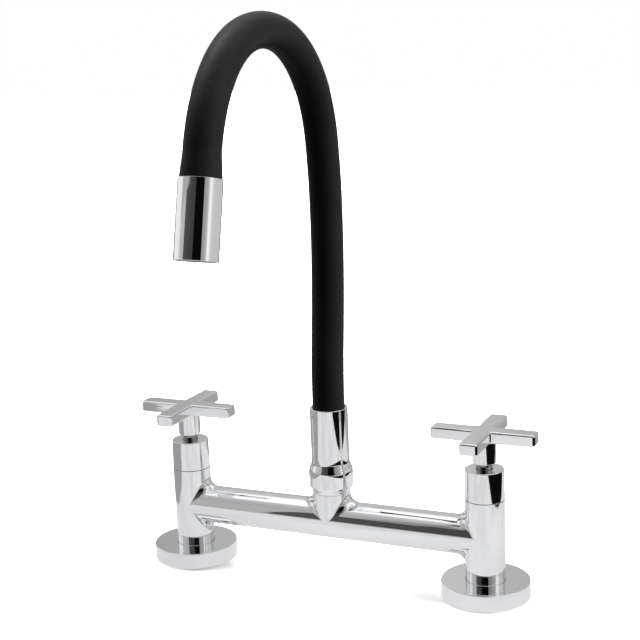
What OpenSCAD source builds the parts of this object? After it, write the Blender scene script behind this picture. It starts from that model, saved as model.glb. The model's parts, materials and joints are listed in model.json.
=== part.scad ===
// Bridge kitchen mixer tap with a flexible spout.
// Z is up and the worktop is the plane z = 0. X runs along the bridge and the spout faces -Y.
// The origin lies midway between the two inlets, on the worktop.

/* [Bridge casting] */
// Distance between the two inlets, centre to centre
inlet_spacing = 200; // [150:1:240]
// Outer diameter of the two pillars
pillar_d = 24.3; // [23.3:0.1:27]
// Height of the pillars' lower ends above the worktop
pillar_foot_z = 16.2; // [13:0.1:17]
// Height of the pillars' upper ends, where the bonnet sleeves begin
pillar_top_z = 61.8; // [59:0.1:68]
// Outer diameter of the cross tube
bridge_d = 24.3; // [21.9:0.1:24.3]
// Height of the cross tube's axis
bridge_z = 37; // [35:0.1:39]
// Bore of the cross tube's waterway
bridge_bore_d = 15; // [11:0.1:16]
// Outer diameter of the centre riser
riser_d = 23.8; // [22.4:0.1:24.2]
// Height of the centre riser's upper end
riser_top_z = 55.8; // [54:0.1:58]
// Radius of the cast blends between the tube, the pillars and the riser
blend_r = 6.5; // [4:0.5:9]
// Wall of the pillars around the valve chambers
chamber_wall = 2.3; // [2:0.1:3.2]
// Height of the valve seats
seat_z = 26; // [25:0.1:27]
// Thickness of the valve seat webs
seat_web = 3.8; // [2.5:0.1:5]
// Diameter of the opening in a valve seat
seat_bore_d = 10; // [7:0.1:11]

/* [Inlet feet] */
// Outer diameter of the inlet collars
collar_d = 24; // [22.6:0.1:24.2]
// Bore of the inlet thread, at its crests (G 1/2)
inlet_bore_d = 18.6; // [16:0.1:19]
// Depth of the inlet thread
inlet_thread_l = 12; // [8:0.5:13]
// Diameter of the waterway through the collar's upper end
collar_bore_d = 14; // [10:0.1:15]
// Diameter of the collar's spigot in the pillar foot
collar_spigot_d = 19.8; // [17.5:0.1:20]
// Length of the collar's spigot
collar_spigot_l = 5.4; // [4:0.1:5.6]
// Diameter of the cover flanges
flange_d = 54.2; // [45:0.1:65]
// Height of the cover flanges
flange_h = 10.4; // [8:0.1:12]
// Wall of the cover flanges
flange_wall = 1.6; // [1.2:0.1:2.5]
// Radius of the flange's upper edge
flange_edge_r = 0.5; // [0.3:0.1:1]
// Thickness of the flange gaskets
gasket_h = 3; // [2:0.1:5]

/* [Headwork] */
// Height of the bonnet sleeves' upper ends
bonnet_top_z = 80.4; // [80:0.1:86]
// Thickness of the bonnet sleeve's top
bonnet_roof = 1.4; // [1:0.1:2]
// Wall of the bonnet sleeve
bonnet_wall = 1.2; // [1:0.05:1.6]
// Radius of the bonnet sleeve's upper edge
bonnet_edge_r = 0.5; // [0.3:0.1:0.8]
// Draft of the bonnet sleeve: how much its radius shrinks towards the top
bonnet_draft = 0.35; // [0:0.05:0.4]
// Width of the fine seam between pillar and bonnet sleeve
seam_gap = 0.3; // [0.1:0.05:0.5]
// Thickness of the seat seal
seal_h = 2.6; // [1.5:0.1:3]
// Outer diameter of the cartridge barrel in the valve chamber
barrel_d = 15.4; // [14.8:0.1:15.8]
// Wall of the cartridge barrel
barrel_wall = 0.9; // [0.7:0.05:1.1]
// Width of the windows in the cartridge barrel
window_w = 7; // [4:0.1:9]
// Thickness of the fixed ceramic disc
fixed_disc_h = 3; // [2:0.1:3.5]
// Thickness of the turning ceramic disc
moving_disc_h = 2.4; // [2:0.1:3]
// Diameter of the valve spindle
spindle_d = 8; // [7:0.1:8.4]
// Diameter of the spindle's collar, seen between sleeve and handle
spindle_collar_d = 9.8; // [9.2:0.1:10.4]
// Thickness of the spindle's drive plate
drive_h = 2.6; // [2:0.1:3.5]
// Number of teeth on the spindle's spline
spline_teeth = 20; // [12:1:24]
// Thickness of the spindle's O-rings
stem_ring_t = 1.4; // [1:0.1:1.6]
// Thickness of the spindle clip
clip_t = 0.7; // [0.5:0.1:0.9]

/* [Cross handles] */
// Length of a handle across two arms
cross_l = 64.1; // [50:0.1:80]
// Width of a handle arm
arm_w = 11.1; // [9:0.1:13]
// Thickness of a handle arm
arm_h = 7.4; // [5:0.1:9]
// Radius of the arms' edges
arm_edge_r = 0.8; // [0.3:0.1:1]
// Height of the handles' upper faces
handle_top_z = 104.9; // [103:0.1:112]
// Diameter of the handle hub
hub_d = 14.2; // [12.6:0.1:15]
// Height of the gap between bonnet sleeve and hub
hub_gap = 3.8; // [2:0.1:5]
// Depth of the spindle's socket in the hub
socket_depth = 14; // [11:0.5:15]
// Diameter of the handle grub screw
grub_d = 4; // [3:0.5:4]

/* [Spout socket] */
// Outer diameter of the spout socket's tube
socket_d = 23.8; // [23:0.1:25.5]
// Height of the spout socket's mouth
mouth_z = 110.2; // [108:0.1:120]
// Outer diameter of the spout socket's bulge
bulge_d = 28.1; // [26.3:0.1:31]
// Height of the bevel below the bulge
bulge_bevel_h = 2.6; // [2.5:0.1:5]
// Height of the bulge's straight wall
bulge_wall_h = 10.3; // [7:0.1:12]
// Height of the hollow flare above the bulge
bulge_flare_h = 9.1; // [5:0.1:10]
// Widening of the socket at its mouth
mouth_flare = 0; // [0:0.05:0.3]
// Depth of the hose pocket in the spout socket
pocket_l = 30; // [24:0.5:31]
// Diameter of the swivel spigot in the riser
spigot_d = 17; // [16:0.1:17.6]
// Length of the swivel spigot inside the riser
spigot_l = 15.6; // [15:0.1:16.5]
// Bore of the swivel spigot
spigot_bore_d = 11.6; // [9:0.1:11.8]
// Thickness of the swivel's O-rings
swivel_ring_t = 2.2; // [1.6:0.1:2.4]
// Thickness of the retaining ring
retainer_t = 1.4; // [1:0.1:1.6]

/* [Gooseneck] */
// Length of one gooseneck link, ball centre to ball centre
link_l = 41.6; // [38:0.1:44]
// Diameter of the links' balls
ball_d = 13.2; // [12.6:0.1:13.4]
// Diameter of the links' tubes
link_d = 12.4; // [11.6:0.1:12.8]
// Diameter of the links' necks below the balls
neck_d = 10.8; // [10.2:0.1:11.2]
// Length of the neck below a ball's centre
neck_l = 5.5; // [4.5:0.1:6.5]
// Bore of the links
link_bore_d = 9.2; // [8.6:0.1:9.4]
// How far a cup's lip reaches round its ball
cup_lip = 2.8; // [2:0.1:3.2]
// Straight length of a cup above the ball's centre
cup_l = 3; // [2:0.1:4]
// Outer diameter of the water hose
water_hose_d = 8; // [6:0.1:8.2]
// Wall of the water hose
water_hose_wall = 1; // [0.6:0.1:1.4]

/* [Silicone sleeve] */
// Outer diameter of the silicone sleeve
hose_d = 20; // [19.8:0.05:20.3]
// Wall of the silicone sleeve
hose_wall = 1.75; // [1.55:0.05:1.8]
// Length of the straight, flared end above the outlet
tail_l = 13; // [10:0.5:18]
// Outer diameter of the sleeve's flared end
tail_d = 22.2; // [21.2:0.1:22.3]

/* [Outlet] */
// Outer diameter of the outlet barrel
outlet_d = 23.3; // [23.1:0.1:25.4]
// Length of the outlet barrel
outlet_l = 41.5; // [36:0.5:50]
// Wall of the outlet barrel at its mouth
outlet_wall = 1.2; // [0.8:0.1:1.5]
// Depth of the recess that takes the sleeve's end
outlet_recess = 1.5; // [1:0.1:2]
// Length of the thread between adaptor and barrel
outlet_thread_l = 12; // [8:0.5:14]
// Height of the aerator housing
aerator_h = 10; // [7:0.5:12]
// Depth of the aerator's face inside the mouth
aerator_inset = 2; // [1:0.1:3]
// Number of ribs across the aerator's grid
grid_ribs = 7; // [5:2:9]

/* [Clearances] */
// Radial clearance of running fits
run_gap = 0.08; // [0.05:0.01:0.1]
// Clearance between fixed pieces that fit into each other
fit_gap = 0.05; // [0.03:0.01:0.08]
// Clearance between loose pieces
loose_gap = 0.3; // [0.2:0.05:0.4]
// Clearance between a ball and its cup
ball_gap = 0.3; // [0.2:0.05:0.35]

/* [Hidden] */
$fn = 64;
eps = 0.01;

// Bend of the spout at each gooseneck link, in degrees, from the socket to the outlet.
// The first link leans back, and the crown of the arch takes links five to nine.
BEND_ANGLES = [-6.7, 3, 4.5, 7.5, 31, 33.8, 29.1, 35.5, 28.9];
LINKS = len(BEND_ANGLES);

pillar_r = pillar_d / 2;
bridge_r = bridge_d / 2;
riser_r = riser_d / 2;
inlet_x = inlet_spacing / 2;
blend_sink = 0.1;
blend_steps = 30;
blend_reach = 80;
arc_steps = 6;
casting_top_z = pillar_top_z - seam_gap;
axial_gap = 0.1;
chamber_r = pillar_r - chamber_wall;
collar_socket_r = collar_spigot_d / 2 + fit_gap;
collar_socket_top = seat_z - seat_web;
spigot_r = spigot_d / 2;
riser_bore_r = spigot_r + run_gap;
spigot_foot_z = riser_top_z - spigot_l;
ring_gap = 0.03;
swivel_ring_r = riser_bore_r - ring_gap - swivel_ring_t / 2;
swivel_ring_depths = [3.5, 7.5];
swivel_ring_zs = [for (depth = swivel_ring_depths) riser_top_z - depth];
retainer_rise = 2.4;
retainer_bite = 0.8;
retainer_z = spigot_foot_z + retainer_rise;
retainer_r = riser_bore_r + retainer_bite;
retainer_bore_r = spigot_r - retainer_bite;

// Headwork levels, from the seat upwards.
barrel_r = barrel_d / 2;
barrel_bore_r = barrel_r - barrel_wall;
disc_r = barrel_bore_r - run_gap;
seal_top_z = seat_z + seal_h;
ledge_h = 1.1;
fixed_disc_z = seal_top_z + ledge_h;
moving_disc_z = fixed_disc_z + fixed_disc_h + fit_gap;
drive_z = moving_disc_z + moving_disc_h + fit_gap;
drive_top_z = drive_z + drive_h;
window_margin = 3;
window_top_z = drive_top_z + window_margin;
thread_run = 4;
thread_z = window_top_z + thread_run;
thread_lead = 1;
cap_h = 3.6;
tongue_w = 2.4;
tongue_h = 1;
tongue_inset = 1.5;
bonnet_bore_r = pillar_r - bonnet_wall;
cap_r = bonnet_bore_r - fit_gap;
roof_z = bonnet_top_z - bonnet_roof;
clip_drop = 1.2;
clip_z = roof_z - clip_drop;
clip_w = 1.7;
clip_bite = 0.6;
stem_top_z = clip_z - fit_gap;
stem_r = 7;
spindle_r = spindle_d / 2;
spindle_bore_r = spindle_r + run_gap;
collar_hole_r = spindle_collar_d / 2 + loose_gap;
hub_z = bonnet_top_z + hub_gap;
spline_gap = 1;
spline_l = socket_depth - spline_gap;
spline_depth = 0.4;
stem_ring_depth = 5;
stem_ring_z = stem_top_z - stem_ring_depth;
stem_ring_step = 4;
stem_ring_r = spindle_bore_r - ring_gap - stem_ring_t / 2;
clip_bore_r = spindle_r - clip_bite;
collar_z = clip_z + clip_t + 2 * fit_gap;
grub_rise = 6;
grub_z = hub_z + grub_rise;

// Spout socket levels.
socket_foot_z = riser_top_z + 0.15;
bulge_z = socket_foot_z + bulge_bevel_h;
flare_z = bulge_z + bulge_wall_h;
tube_z = flare_z + bulge_flare_h;
flare_steps = 6;
pocket_z = mouth_z - pocket_l;
hose_r = hose_d / 2;
hose_bore_r = hose_r - hose_wall;
pocket_r = hose_r + loose_gap;
root_r = hose_bore_r - loose_gap;
shank_wall = 1;
shank_r = root_r + shank_wall;
root_tail_r = 6.4;
root_tail_l = 12;

// Gooseneck radii.
ball_r = ball_d / 2;
cup_r = hose_bore_r - loose_gap;
cup_bore_r = ball_r + ball_gap;
link_r = link_d / 2;
neck_r = neck_d / 2;
link_bore_r = link_bore_d / 2;
ball_cut = 3.2;
mouth_flare_r = 0.5;
mouth_r = link_bore_r + mouth_flare_r;
lap = 0.6;
cup_taper_l = 5.5;

// Outlet radii, and places along the outlet's axis from the end of the last bend.
outlet_r = outlet_d / 2;
tail_r = tail_d / 2;
adaptor_r = tail_r - hose_wall - loose_gap;
adaptor_step = 0.4;
adaptor_thread_r = adaptor_r - adaptor_step;
recess_r = tail_r + fit_gap;
web_z = tail_l + outlet_recess;
web_l = 4;
barrel_end = tail_l + outlet_l;
mouth_bore_r = outlet_r - outlet_wall;
aerator_face = barrel_end - aerator_inset;
aerator_r = mouth_bore_r - fit_gap;
washer_t = 2;
aerator_back = aerator_face - aerator_h;
washer_back = aerator_back - washer_t;
stub_r = 5.6;
stub_l = 8;
hose_end = 18;
hose_port_r = 3.2;
hose_foot = 1;
chamber_step = 0.9;
washer_w = 2.6;
aerator_wall = 1.5;
jet_d = 1.6;
mesh_t = 0.5;
mesh_rim = 0.8;
mesh_rib = 0.6;
mesh_inset = 0.5;
hose_step_angle = 6;

CHROME = "silver";
BRASS = "goldenrod";
SILICONE = "#1c1c1d";
RUBBER = "#2b2b2b";
CERAMIC = "whitesmoke";
STEEL = "slategray";
NYLON = "gainsboro";

// Small shared shapes.

// A hollow cylinder from z to z + h.
module tube(z, h, r_out, r_in) {
    translate([0, 0, z])
        difference() {
            cylinder(r = r_out, h = h);
            translate([0, 0, -eps])
                cylinder(r = r_in, h = h + 2 * eps);
        }
}

// A ring of round section round the Z axis.
module ring(z, r, t) {
    translate([0, 0, z])
        rotate_extrude()
            translate([r, 0])
                circle(d = t);
}

// A rectangle from the origin to size, with its upper outer corner rounded.
module edge_profile(size, r) {
    union() {
        square([size.x, size.y - r]);
        square([size.x - r, size.y]);
        translate([size.x - r, size.y - r])
            circle(r = r);
    }
}

// A centred rectangle with all four corners rounded.
module soft_rectangle(w, h, r) {
    union() {
        square([w - 2 * r, h], center = true);
        square([w, h - 2 * r], center = true);
        for (x = [-1, 1], y = [-1, 1])
            translate([x * (w / 2 - r), y * (h / 2 - r)])
                circle(r = r);
    }
}

module at_inlet(side) {
    translate([side * inlet_x, 0, 0])
        children();
}

// The spout's centreline: one arc for each link, each tangent to the one before it.

// Lean of the spout forward from upright at the start of link i.
function lean(i) = i <= 0 ? 0 : lean(i - 1) + BEND_ANGLES[i - 1];

// Radius of the arc of link i, with the sign of its bend.
function bend_r(i) = link_l * 180 / (PI * BEND_ANGLES[i]);

// Forward reach and height of the start of link i.
function station(i) =
    i <= 0 ? [0, mouth_z] :
    let (p = station(i - 1), a = lean(i - 1), b = lean(i), r = bend_r(i - 1))
    [p[0] + r * (cos(a) - cos(b)), p[1] + r * (sin(b) - sin(a))];

// Moves a shape so that its origin and +Z lie on the centreline at station i.
module at_station(i) {
    p = station(i);
    translate([0, -p[0], p[1]])
        rotate([lean(i), 0, 0])
            children();
}

// Carries a 2D section along the arc of link i, between two lengths along it.
module sweep_arc(i, from_l, to_l) {
    bend = BEND_ANGLES[i];
    r = abs(bend_r(i));
    turn = abs(bend) / link_l;
    at_station(i)
        mirror([0, bend < 0 ? 1 : 0, 0])
            translate([0, -r, 0])
                rotate([90, 0, 90])
                    rotate([0, 0, from_l * turn])
                        rotate_extrude(angle = (to_l - from_l) * turn)
                            translate([r, 0])
                                children();
}

module rod_arc(i, from_l, to_l, r) {
    sweep_arc(i, from_l, to_l)
        circle(r = r);
}

// Centreline at length s past the socket's mouth, below 0 inside the socket: reach, height and lean.
function track(s) =
    s <= 0 ? [0, mouth_z + s, 0] :
    let (
        i = min(LINKS - 1, floor(s / link_l)),
        run = min(s - i * link_l, link_l),
        past = max(0, s - LINKS * link_l),
        p = station(i),
        a = lean(i),
        b = a + BEND_ANGLES[i] * run / link_l,
        r = bend_r(i)
    )
    [p[0] + r * (cos(a) - cos(b)) + past * sin(b), p[1] + r * (sin(b) - sin(a)) + past * cos(b), b];

// Lengths at which a hose gets a ring: the joints, and steps of about hose_step_angle degrees between them.
hose_stops = [
    for (i = [0:LINKS - 1])
        let (n = max(1, ceil(abs(BEND_ANGLES[i]) / hose_step_angle)))
        for (k = [0:n - 1]) (i + k / n) * link_l
];

// Points of a ring of radius r round the centreline at length s.
function hose_ring(s, r, sides) =
    let (c = track(s))
    [
        for (k = [0:sides - 1])
            let (x = r * cos(360 * k / sides), y = r * sin(360 * k / sides))
            [x, y * cos(c[2]) - c[0], c[1] + y * sin(c[2])]
    ];

// A hose along the centreline. Each ring is a length, an outer radius and a bore radius.
module hose(rings, sides) {
    n = 2 * len(rings);
    flat = 1 / cos(180 / sides);
    points = [
        for (g = rings) each hose_ring(g[0], g[1], sides),
        for (j = [len(rings) - 1:-1:0]) each hose_ring(rings[j][0], rings[j][2] * flat, sides)
    ];
    faces = [
        for (j = [0:n - 1], k = [0:sides - 1])
            let (
                a = j * sides + k,
                b = j * sides + (k + 1) % sides,
                c = (j + 1) % n * sides + k,
                d = (j + 1) % n * sides + (k + 1) % sides
            )
            each [[a, c, d], [a, d, b]]
    ];
    polyhedron(points = points, faces = faces);
}

// Cast blends: the track of a ball that rolls in the corner between two round tubes.

// Centre of a ball of radius r at angle t, beside an upright tube of radius a and a level one of radius b.
function ball_centre(a, b, r, t) =
    let (y = (min(a, b) + r) * sin(t))
    [sqrt(pow(a + r, 2) - y * y), y, sqrt(pow(b + r, 2) - y * y)];

// Point on the ball of centre c, on the way from touching point p to touching point q at share u.
function ball_point(c, p, q, r, u) =
    let (m = p * (1 - u) + q * u - c) c + m * (r / norm(m));

// One closed section of the blend: a point inside both tubes, then the ball's face.
function blend_section(a, b, r, t) =
    let (
        c = ball_centre(a, b, r, t),
        ka = a / (a + r),
        kb = b / (b + r),
        p = [c[0] * ka, c[1] * ka, c[2]],
        q = [c[0], c[1] * kb, c[2] * kb],
        core = [p[0] * 0.8, (p[1] + q[1]) * 0.4, q[2] * 0.8]
    )
    concat([core], [for (k = [0:arc_steps]) ball_point(c, p, q, r, k / arc_steps)]);

// The blend of radius r in the upper corner between an upright and a level tube.
module blend(upright_r, level_r, r) {
    a = upright_r - blend_sink;
    b = level_r - blend_sink;
    n = arc_steps + 2;
    points = [
        for (s = [0:blend_steps])
            each blend_section(a, b, r, blend_reach * (2 * s / blend_steps - 1))
    ];
    walls = [
        for (s = [0:blend_steps - 1], k = [0:n - 1])
            let (k2 = (k + 1) % n)
            each [
                [s * n + k, (s + 1) * n + k2, s * n + k2],
                [s * n + k, (s + 1) * n + k, (s + 1) * n + k2]
            ]
    ];
    first = [for (k = [1:n - 2]) [0, k, k + 1]];
    last = [for (k = [1:n - 2]) [blend_steps * n, blend_steps * n + k + 1, blend_steps * n + k]];
    polyhedron(points = points, faces = concat(first, walls, last));
}

// Castings and fixed pieces.

module bridge_shell() {
    for (side = [-1, 1])
        at_inlet(side)
            translate([0, 0, pillar_foot_z])
                cylinder(r = pillar_r, h = casting_top_z - pillar_foot_z);
    translate([-inlet_x, 0, bridge_z])
        rotate([0, 90, 0])
            cylinder(r = bridge_r, h = inlet_spacing);
    translate([0, 0, bridge_z])
        cylinder(r = riser_r, h = riser_top_z - bridge_z);
}

// Blends at both ends of the cross tube and at both sides of the riser, as far as their walls allow.
module cast_blends() {
    upper_r = min(blend_r, casting_top_z - bridge_z - bridge_r - 0.1);
    lower_r = min(blend_r, bridge_z - bridge_r - pillar_foot_z - 0.1);
    centre_r = min(blend_r, riser_top_z - bridge_z - bridge_r - 0.1);
    for (side = [-1, 1])
        translate([side * inlet_x, 0, bridge_z])
            mirror([side > 0 ? 1 : 0, 0, 0]) {
                blend(pillar_r, bridge_r, upper_r);
                mirror([0, 0, 1])
                    blend(pillar_r, bridge_r, lower_r);
            }
    for (side = [0, 1])
        translate([0, 0, bridge_z])
            mirror([side, 0, 0])
                blend(riser_r, bridge_r, centre_r);
}

module waterways() {
    for (side = [-1, 1])
        at_inlet(side) {
            translate([0, 0, pillar_foot_z - eps])
                cylinder(r = collar_socket_r, h = collar_socket_top - pillar_foot_z + eps);
            translate([0, 0, collar_socket_top - eps])
                cylinder(d = seat_bore_d, h = seat_web + 2 * eps);
            translate([0, 0, seat_z])
                cylinder(r = chamber_r, h = casting_top_z - seat_z + eps);
        }
    translate([-inlet_x, 0, bridge_z])
        rotate([0, 90, 0])
            cylinder(d = bridge_bore_d, h = inlet_spacing);
    translate([0, 0, bridge_z])
        cylinder(r = riser_bore_r, h = riser_top_z - bridge_z + eps);
    translate([0, 0, retainer_z - axial_gap])
        cylinder(r = retainer_r + axial_gap, h = retainer_t + 2 * axial_gap);
}

module bridge_body() {
    color(CHROME)
        difference() {
            union() {
                bridge_shell();
                cast_blends();
            }
            waterways();
        }
}

module inlet_collar(side) {
    r = collar_d / 2;
    thread_r = inlet_bore_d / 2;
    spigot_top = pillar_foot_z + collar_spigot_l;
    color(CHROME)
        at_inlet(side)
            rotate_extrude()
                polygon([
                    [thread_r, 0],
                    [r, 0],
                    [r, pillar_foot_z],
                    [collar_spigot_d / 2, pillar_foot_z],
                    [collar_spigot_d / 2, spigot_top],
                    [collar_bore_d / 2, spigot_top],
                    [collar_bore_d / 2, inlet_thread_l],
                    [thread_r, inlet_thread_l]
                ]);
}
module left_inlet_collar() { inlet_collar(-1); }
module right_inlet_collar() { inlet_collar(1); }

module flange(side) {
    color(CHROME)
        at_inlet(side)
            rotate_extrude()
                difference() {
                    edge_profile([flange_d / 2, flange_h], flange_edge_r);
                    translate([-eps, -eps])
                        square([collar_d / 2 + loose_gap + eps, flange_h + 2 * eps]);
                    translate([-eps, -eps])
                        square([flange_d / 2 - flange_wall + eps, flange_h - flange_wall + eps]);
                }
}
module left_flange() { flange(-1); }
module right_flange() { flange(1); }

module flange_gasket(side) {
    color(RUBBER)
        at_inlet(side)
            tube(0, gasket_h, flange_d / 2 - flange_wall - loose_gap, collar_d / 2 + loose_gap);
}
module left_flange_gasket() { flange_gasket(-1); }
module right_flange_gasket() { flange_gasket(1); }

module seat_seal(side) {
    color(RUBBER)
        at_inlet(side)
            tube(seat_z, seal_h, barrel_r - loose_gap, seat_bore_d / 2 + loose_gap);
}
module left_seat_seal() { seat_seal(-1); }
module right_seat_seal() { seat_seal(1); }

// Brass body of the headwork: barrel, thread, cap and stem, with two windows towards the bridge.
module cartridge_body(side) {
    thread_r = chamber_r - fit_gap;
    ledge_r = seat_bore_d / 2 + loose_gap;
    window_h = window_top_z - moving_disc_z - thread_lead;
    color(BRASS)
        at_inlet(side)
            difference() {
                rotate_extrude()
                    polygon([
                        [ledge_r, seal_top_z],
                        [barrel_r, seal_top_z],
                        [barrel_r, thread_z - thread_lead],
                        [thread_r, thread_z],
                        [thread_r, casting_top_z],
                        [cap_r, casting_top_z],
                        [cap_r, casting_top_z + cap_h],
                        [stem_r, casting_top_z + cap_h],
                        [stem_r, stem_top_z],
                        [spindle_bore_r, stem_top_z],
                        [spindle_bore_r, window_top_z],
                        [barrel_bore_r, window_top_z],
                        [barrel_bore_r, fixed_disc_z],
                        [ledge_r, fixed_disc_z]
                    ]);
                translate([0, 0, moving_disc_z + window_h / 2])
                    cube([2 * barrel_r + eps, window_w, window_h], center = true);
            }
}
module left_cartridge_body() { cartridge_body(-1); }
module right_cartridge_body() { cartridge_body(1); }

// Two facing openings of a ceramic disc.
module disc_ports(turn) {
    spread = 76;
    rim_w = 1.1;
    hub_r = 1.7;
    reach = 3 * disc_r;
    intersection() {
        difference() {
            circle(r = disc_r - rim_w);
            circle(r = hub_r);
        }
        for (m = [0, 180])
            rotate(turn + m)
                polygon([
                    [0, 0],
                    [reach * cos(spread / 2), reach * sin(-spread / 2)],
                    [reach * cos(spread / 2), reach * sin(spread / 2)]
                ]);
    }
}

module fixed_disc(side) {
    color(CERAMIC)
        at_inlet(side)
            translate([0, 0, fixed_disc_z])
                linear_extrude(fixed_disc_h)
                    difference() {
                        circle(r = disc_r);
                        disc_ports(0);
                    }
}
module left_fixed_disc() { fixed_disc(-1); }
module right_fixed_disc() { fixed_disc(1); }

// The turning disc has a slot on top for the spindle's tongue.
module moving_disc(side) {
    color(CERAMIC)
        at_inlet(side)
            translate([0, 0, moving_disc_z])
                difference() {
                    linear_extrude(moving_disc_h)
                        difference() {
                            circle(r = disc_r);
                            disc_ports(90);
                        }
                    translate([0, 0, moving_disc_h - tongue_h / 2])
                        cube([2 * disc_r + eps, tongue_w, tongue_h + eps], center = true);
                }
}
module left_moving_disc() { moving_disc(-1); }
module right_moving_disc() { moving_disc(1); }

// Toothed end of the spindle.
module spline(h) {
    tip_r = spindle_r;
    root = spindle_r - spline_depth;
    step = 360 / spline_teeth;
    linear_extrude(h)
        polygon([
            for (k = [0:spline_teeth - 1])
                each [
                    [root * cos(step * k), root * sin(step * k)],
                    [tip_r * cos(step * (k + 0.35)), tip_r * sin(step * (k + 0.35))],
                    [tip_r * cos(step * (k + 0.65)), tip_r * sin(step * (k + 0.65))]
                ]
        ]);
}

module spindle(side) {
    groove_r = stem_ring_r - stem_ring_t / 2 - fit_gap;
    groove_h = stem_ring_t + 2 * fit_gap;
    color(BRASS)
        at_inlet(side) {
            difference() {
                union() {
                    translate([0, 0, drive_z])
                        linear_extrude(drive_h)
                            difference() {
                                circle(r = disc_r);
                                disc_ports(90);
                            }
                    translate([0, 0, drive_z - (tongue_h - 2 * fit_gap) / 2])
                        cube([2 * (disc_r - tongue_inset), tongue_w - 2 * fit_gap, tongue_h], center = true);
                    translate([0, 0, drive_z])
                        cylinder(r = spindle_r, h = collar_z - drive_z + eps);
                    translate([0, 0, collar_z])
                        cylinder(d = spindle_collar_d, h = hub_z - collar_z);
                    translate([0, 0, hub_z - eps])
                        spline(spline_l);
                }
                for (k = [0, 1])
                    tube(stem_ring_z - k * stem_ring_step - groove_h / 2, groove_h, spindle_r + 1, groove_r);
                tube(clip_z - fit_gap, clip_t + 2 * fit_gap, spindle_r + 1, clip_bore_r - fit_gap);
            }
        }
}
module left_spindle() { spindle(-1); }
module right_spindle() { spindle(1); }

module spindle_seals(side) {
    color(RUBBER)
        at_inlet(side)
            for (k = [0, 1])
                ring(stem_ring_z - k * stem_ring_step, stem_ring_r, stem_ring_t);
}
module left_spindle_seals() { spindle_seals(-1); }
module right_spindle_seals() { spindle_seals(1); }

// Open spring clip that keeps the spindle in the stem.
module spindle_clip(side) {
    mouth = 5;
    color(STEEL)
        at_inlet(side)
            difference() {
                tube(clip_z, clip_t, clip_bore_r + clip_w, clip_bore_r);
                translate([0, -mouth / 2, clip_z - eps])
                    cube([2 * spindle_d, mouth, clip_t + 2 * eps]);
            }
}
module left_spindle_clip() { spindle_clip(-1); }
module right_spindle_clip() { spindle_clip(1); }

module bonnet_sleeve(side) {
    sleeve_h = bonnet_top_z - pillar_top_z;
    shoulder_h = sleeve_h - bonnet_edge_r;
    top_r = pillar_r - bonnet_draft;
    color(CHROME)
        at_inlet(side)
            translate([0, 0, pillar_top_z])
                rotate_extrude()
                    difference() {
                        union() {
                            edge_profile([top_r, sleeve_h], bonnet_edge_r);
                            polygon([[0, 0], [pillar_r, 0], [top_r, shoulder_h], [0, shoulder_h]]);
                        }
                        translate([-eps, -eps])
                            square([bonnet_bore_r + eps, roof_z - pillar_top_z + eps]);
                        translate([-eps, -eps])
                            square([collar_hole_r + eps, sleeve_h + 2 * eps]);
                    }
}
module left_bonnet_sleeve() { bonnet_sleeve(-1); }
module right_bonnet_sleeve() { bonnet_sleeve(1); }

// Handles.

// One bar of the cross, along X, with every edge rounded.
module handle_bar() {
    intersection() {
        rotate([90, 0, 90])
            linear_extrude(cross_l + 1, center = true)
                soft_rectangle(arm_w, arm_h, arm_edge_r);
        linear_extrude(arm_h + 1, center = true)
            soft_rectangle(cross_l, arm_w, arm_edge_r);
        rotate([90, 0, 0])
            linear_extrude(arm_w + 1, center = true)
                soft_rectangle(cross_l, arm_h, arm_edge_r);
    }
}

module cross_handle(side) {
    arm_z = handle_top_z - arm_h / 2;
    color(CHROME)
        at_inlet(side)
            difference() {
                union() {
                    for (turn = [0, 90])
                        translate([0, 0, arm_z])
                            rotate(turn)
                                handle_bar();
                    translate([0, 0, hub_z])
                        cylinder(d = hub_d, h = arm_z - hub_z);
                }
                translate([0, 0, hub_z - eps])
                    cylinder(r = spindle_r + fit_gap, h = socket_depth + eps);
                translate([0, 0, grub_z])
                    rotate([-90, 0, 0])
                        cylinder(d = grub_d + 2 * fit_gap, h = hub_d);
            }
}
module left_cross_handle() { cross_handle(-1); }
module right_cross_handle() { cross_handle(1); }

// Hollow hexagon screw in the back of the hub.
module grub_screw(side) {
    tip = spindle_r + fit_gap;
    inset = 0.3;
    key_floor = 0.8;
    color(STEEL)
        at_inlet(side)
            translate([0, tip, grub_z])
                rotate([-90, 0, 0])
                    difference() {
                        cylinder(d = grub_d, h = hub_d / 2 - tip - inset);
                        translate([0, 0, key_floor])
                            cylinder(d = grub_d / 2, h = hub_d, $fn = 6);
                    }
}
module left_grub_screw() { grub_screw(-1); }
module right_grub_screw() { grub_screw(1); }

// Spout foot.

// The flare's radius falls with the square of the height left to the tube, so it runs out smoothly.
module spout_socket() {
    socket_r = socket_d / 2;
    bulge_r = bulge_d / 2;
    shank_bore_r = shank_r + fit_gap;
    color(CHROME)
        rotate_extrude()
            polygon([
                [shank_bore_r, socket_foot_z],
                [riser_r, socket_foot_z],
                [bulge_r, bulge_z],
                for (k = [0:flare_steps])
                    let (left = 1 - k / flare_steps)
                    [socket_r + (bulge_r - socket_r) * left * left, flare_z + bulge_flare_h * (1 - left)],
                [socket_r + mouth_flare, mouth_z],
                [pocket_r, mouth_z],
                [pocket_r, pocket_z],
                [shank_bore_r, pocket_z]
            ]);
}

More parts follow.
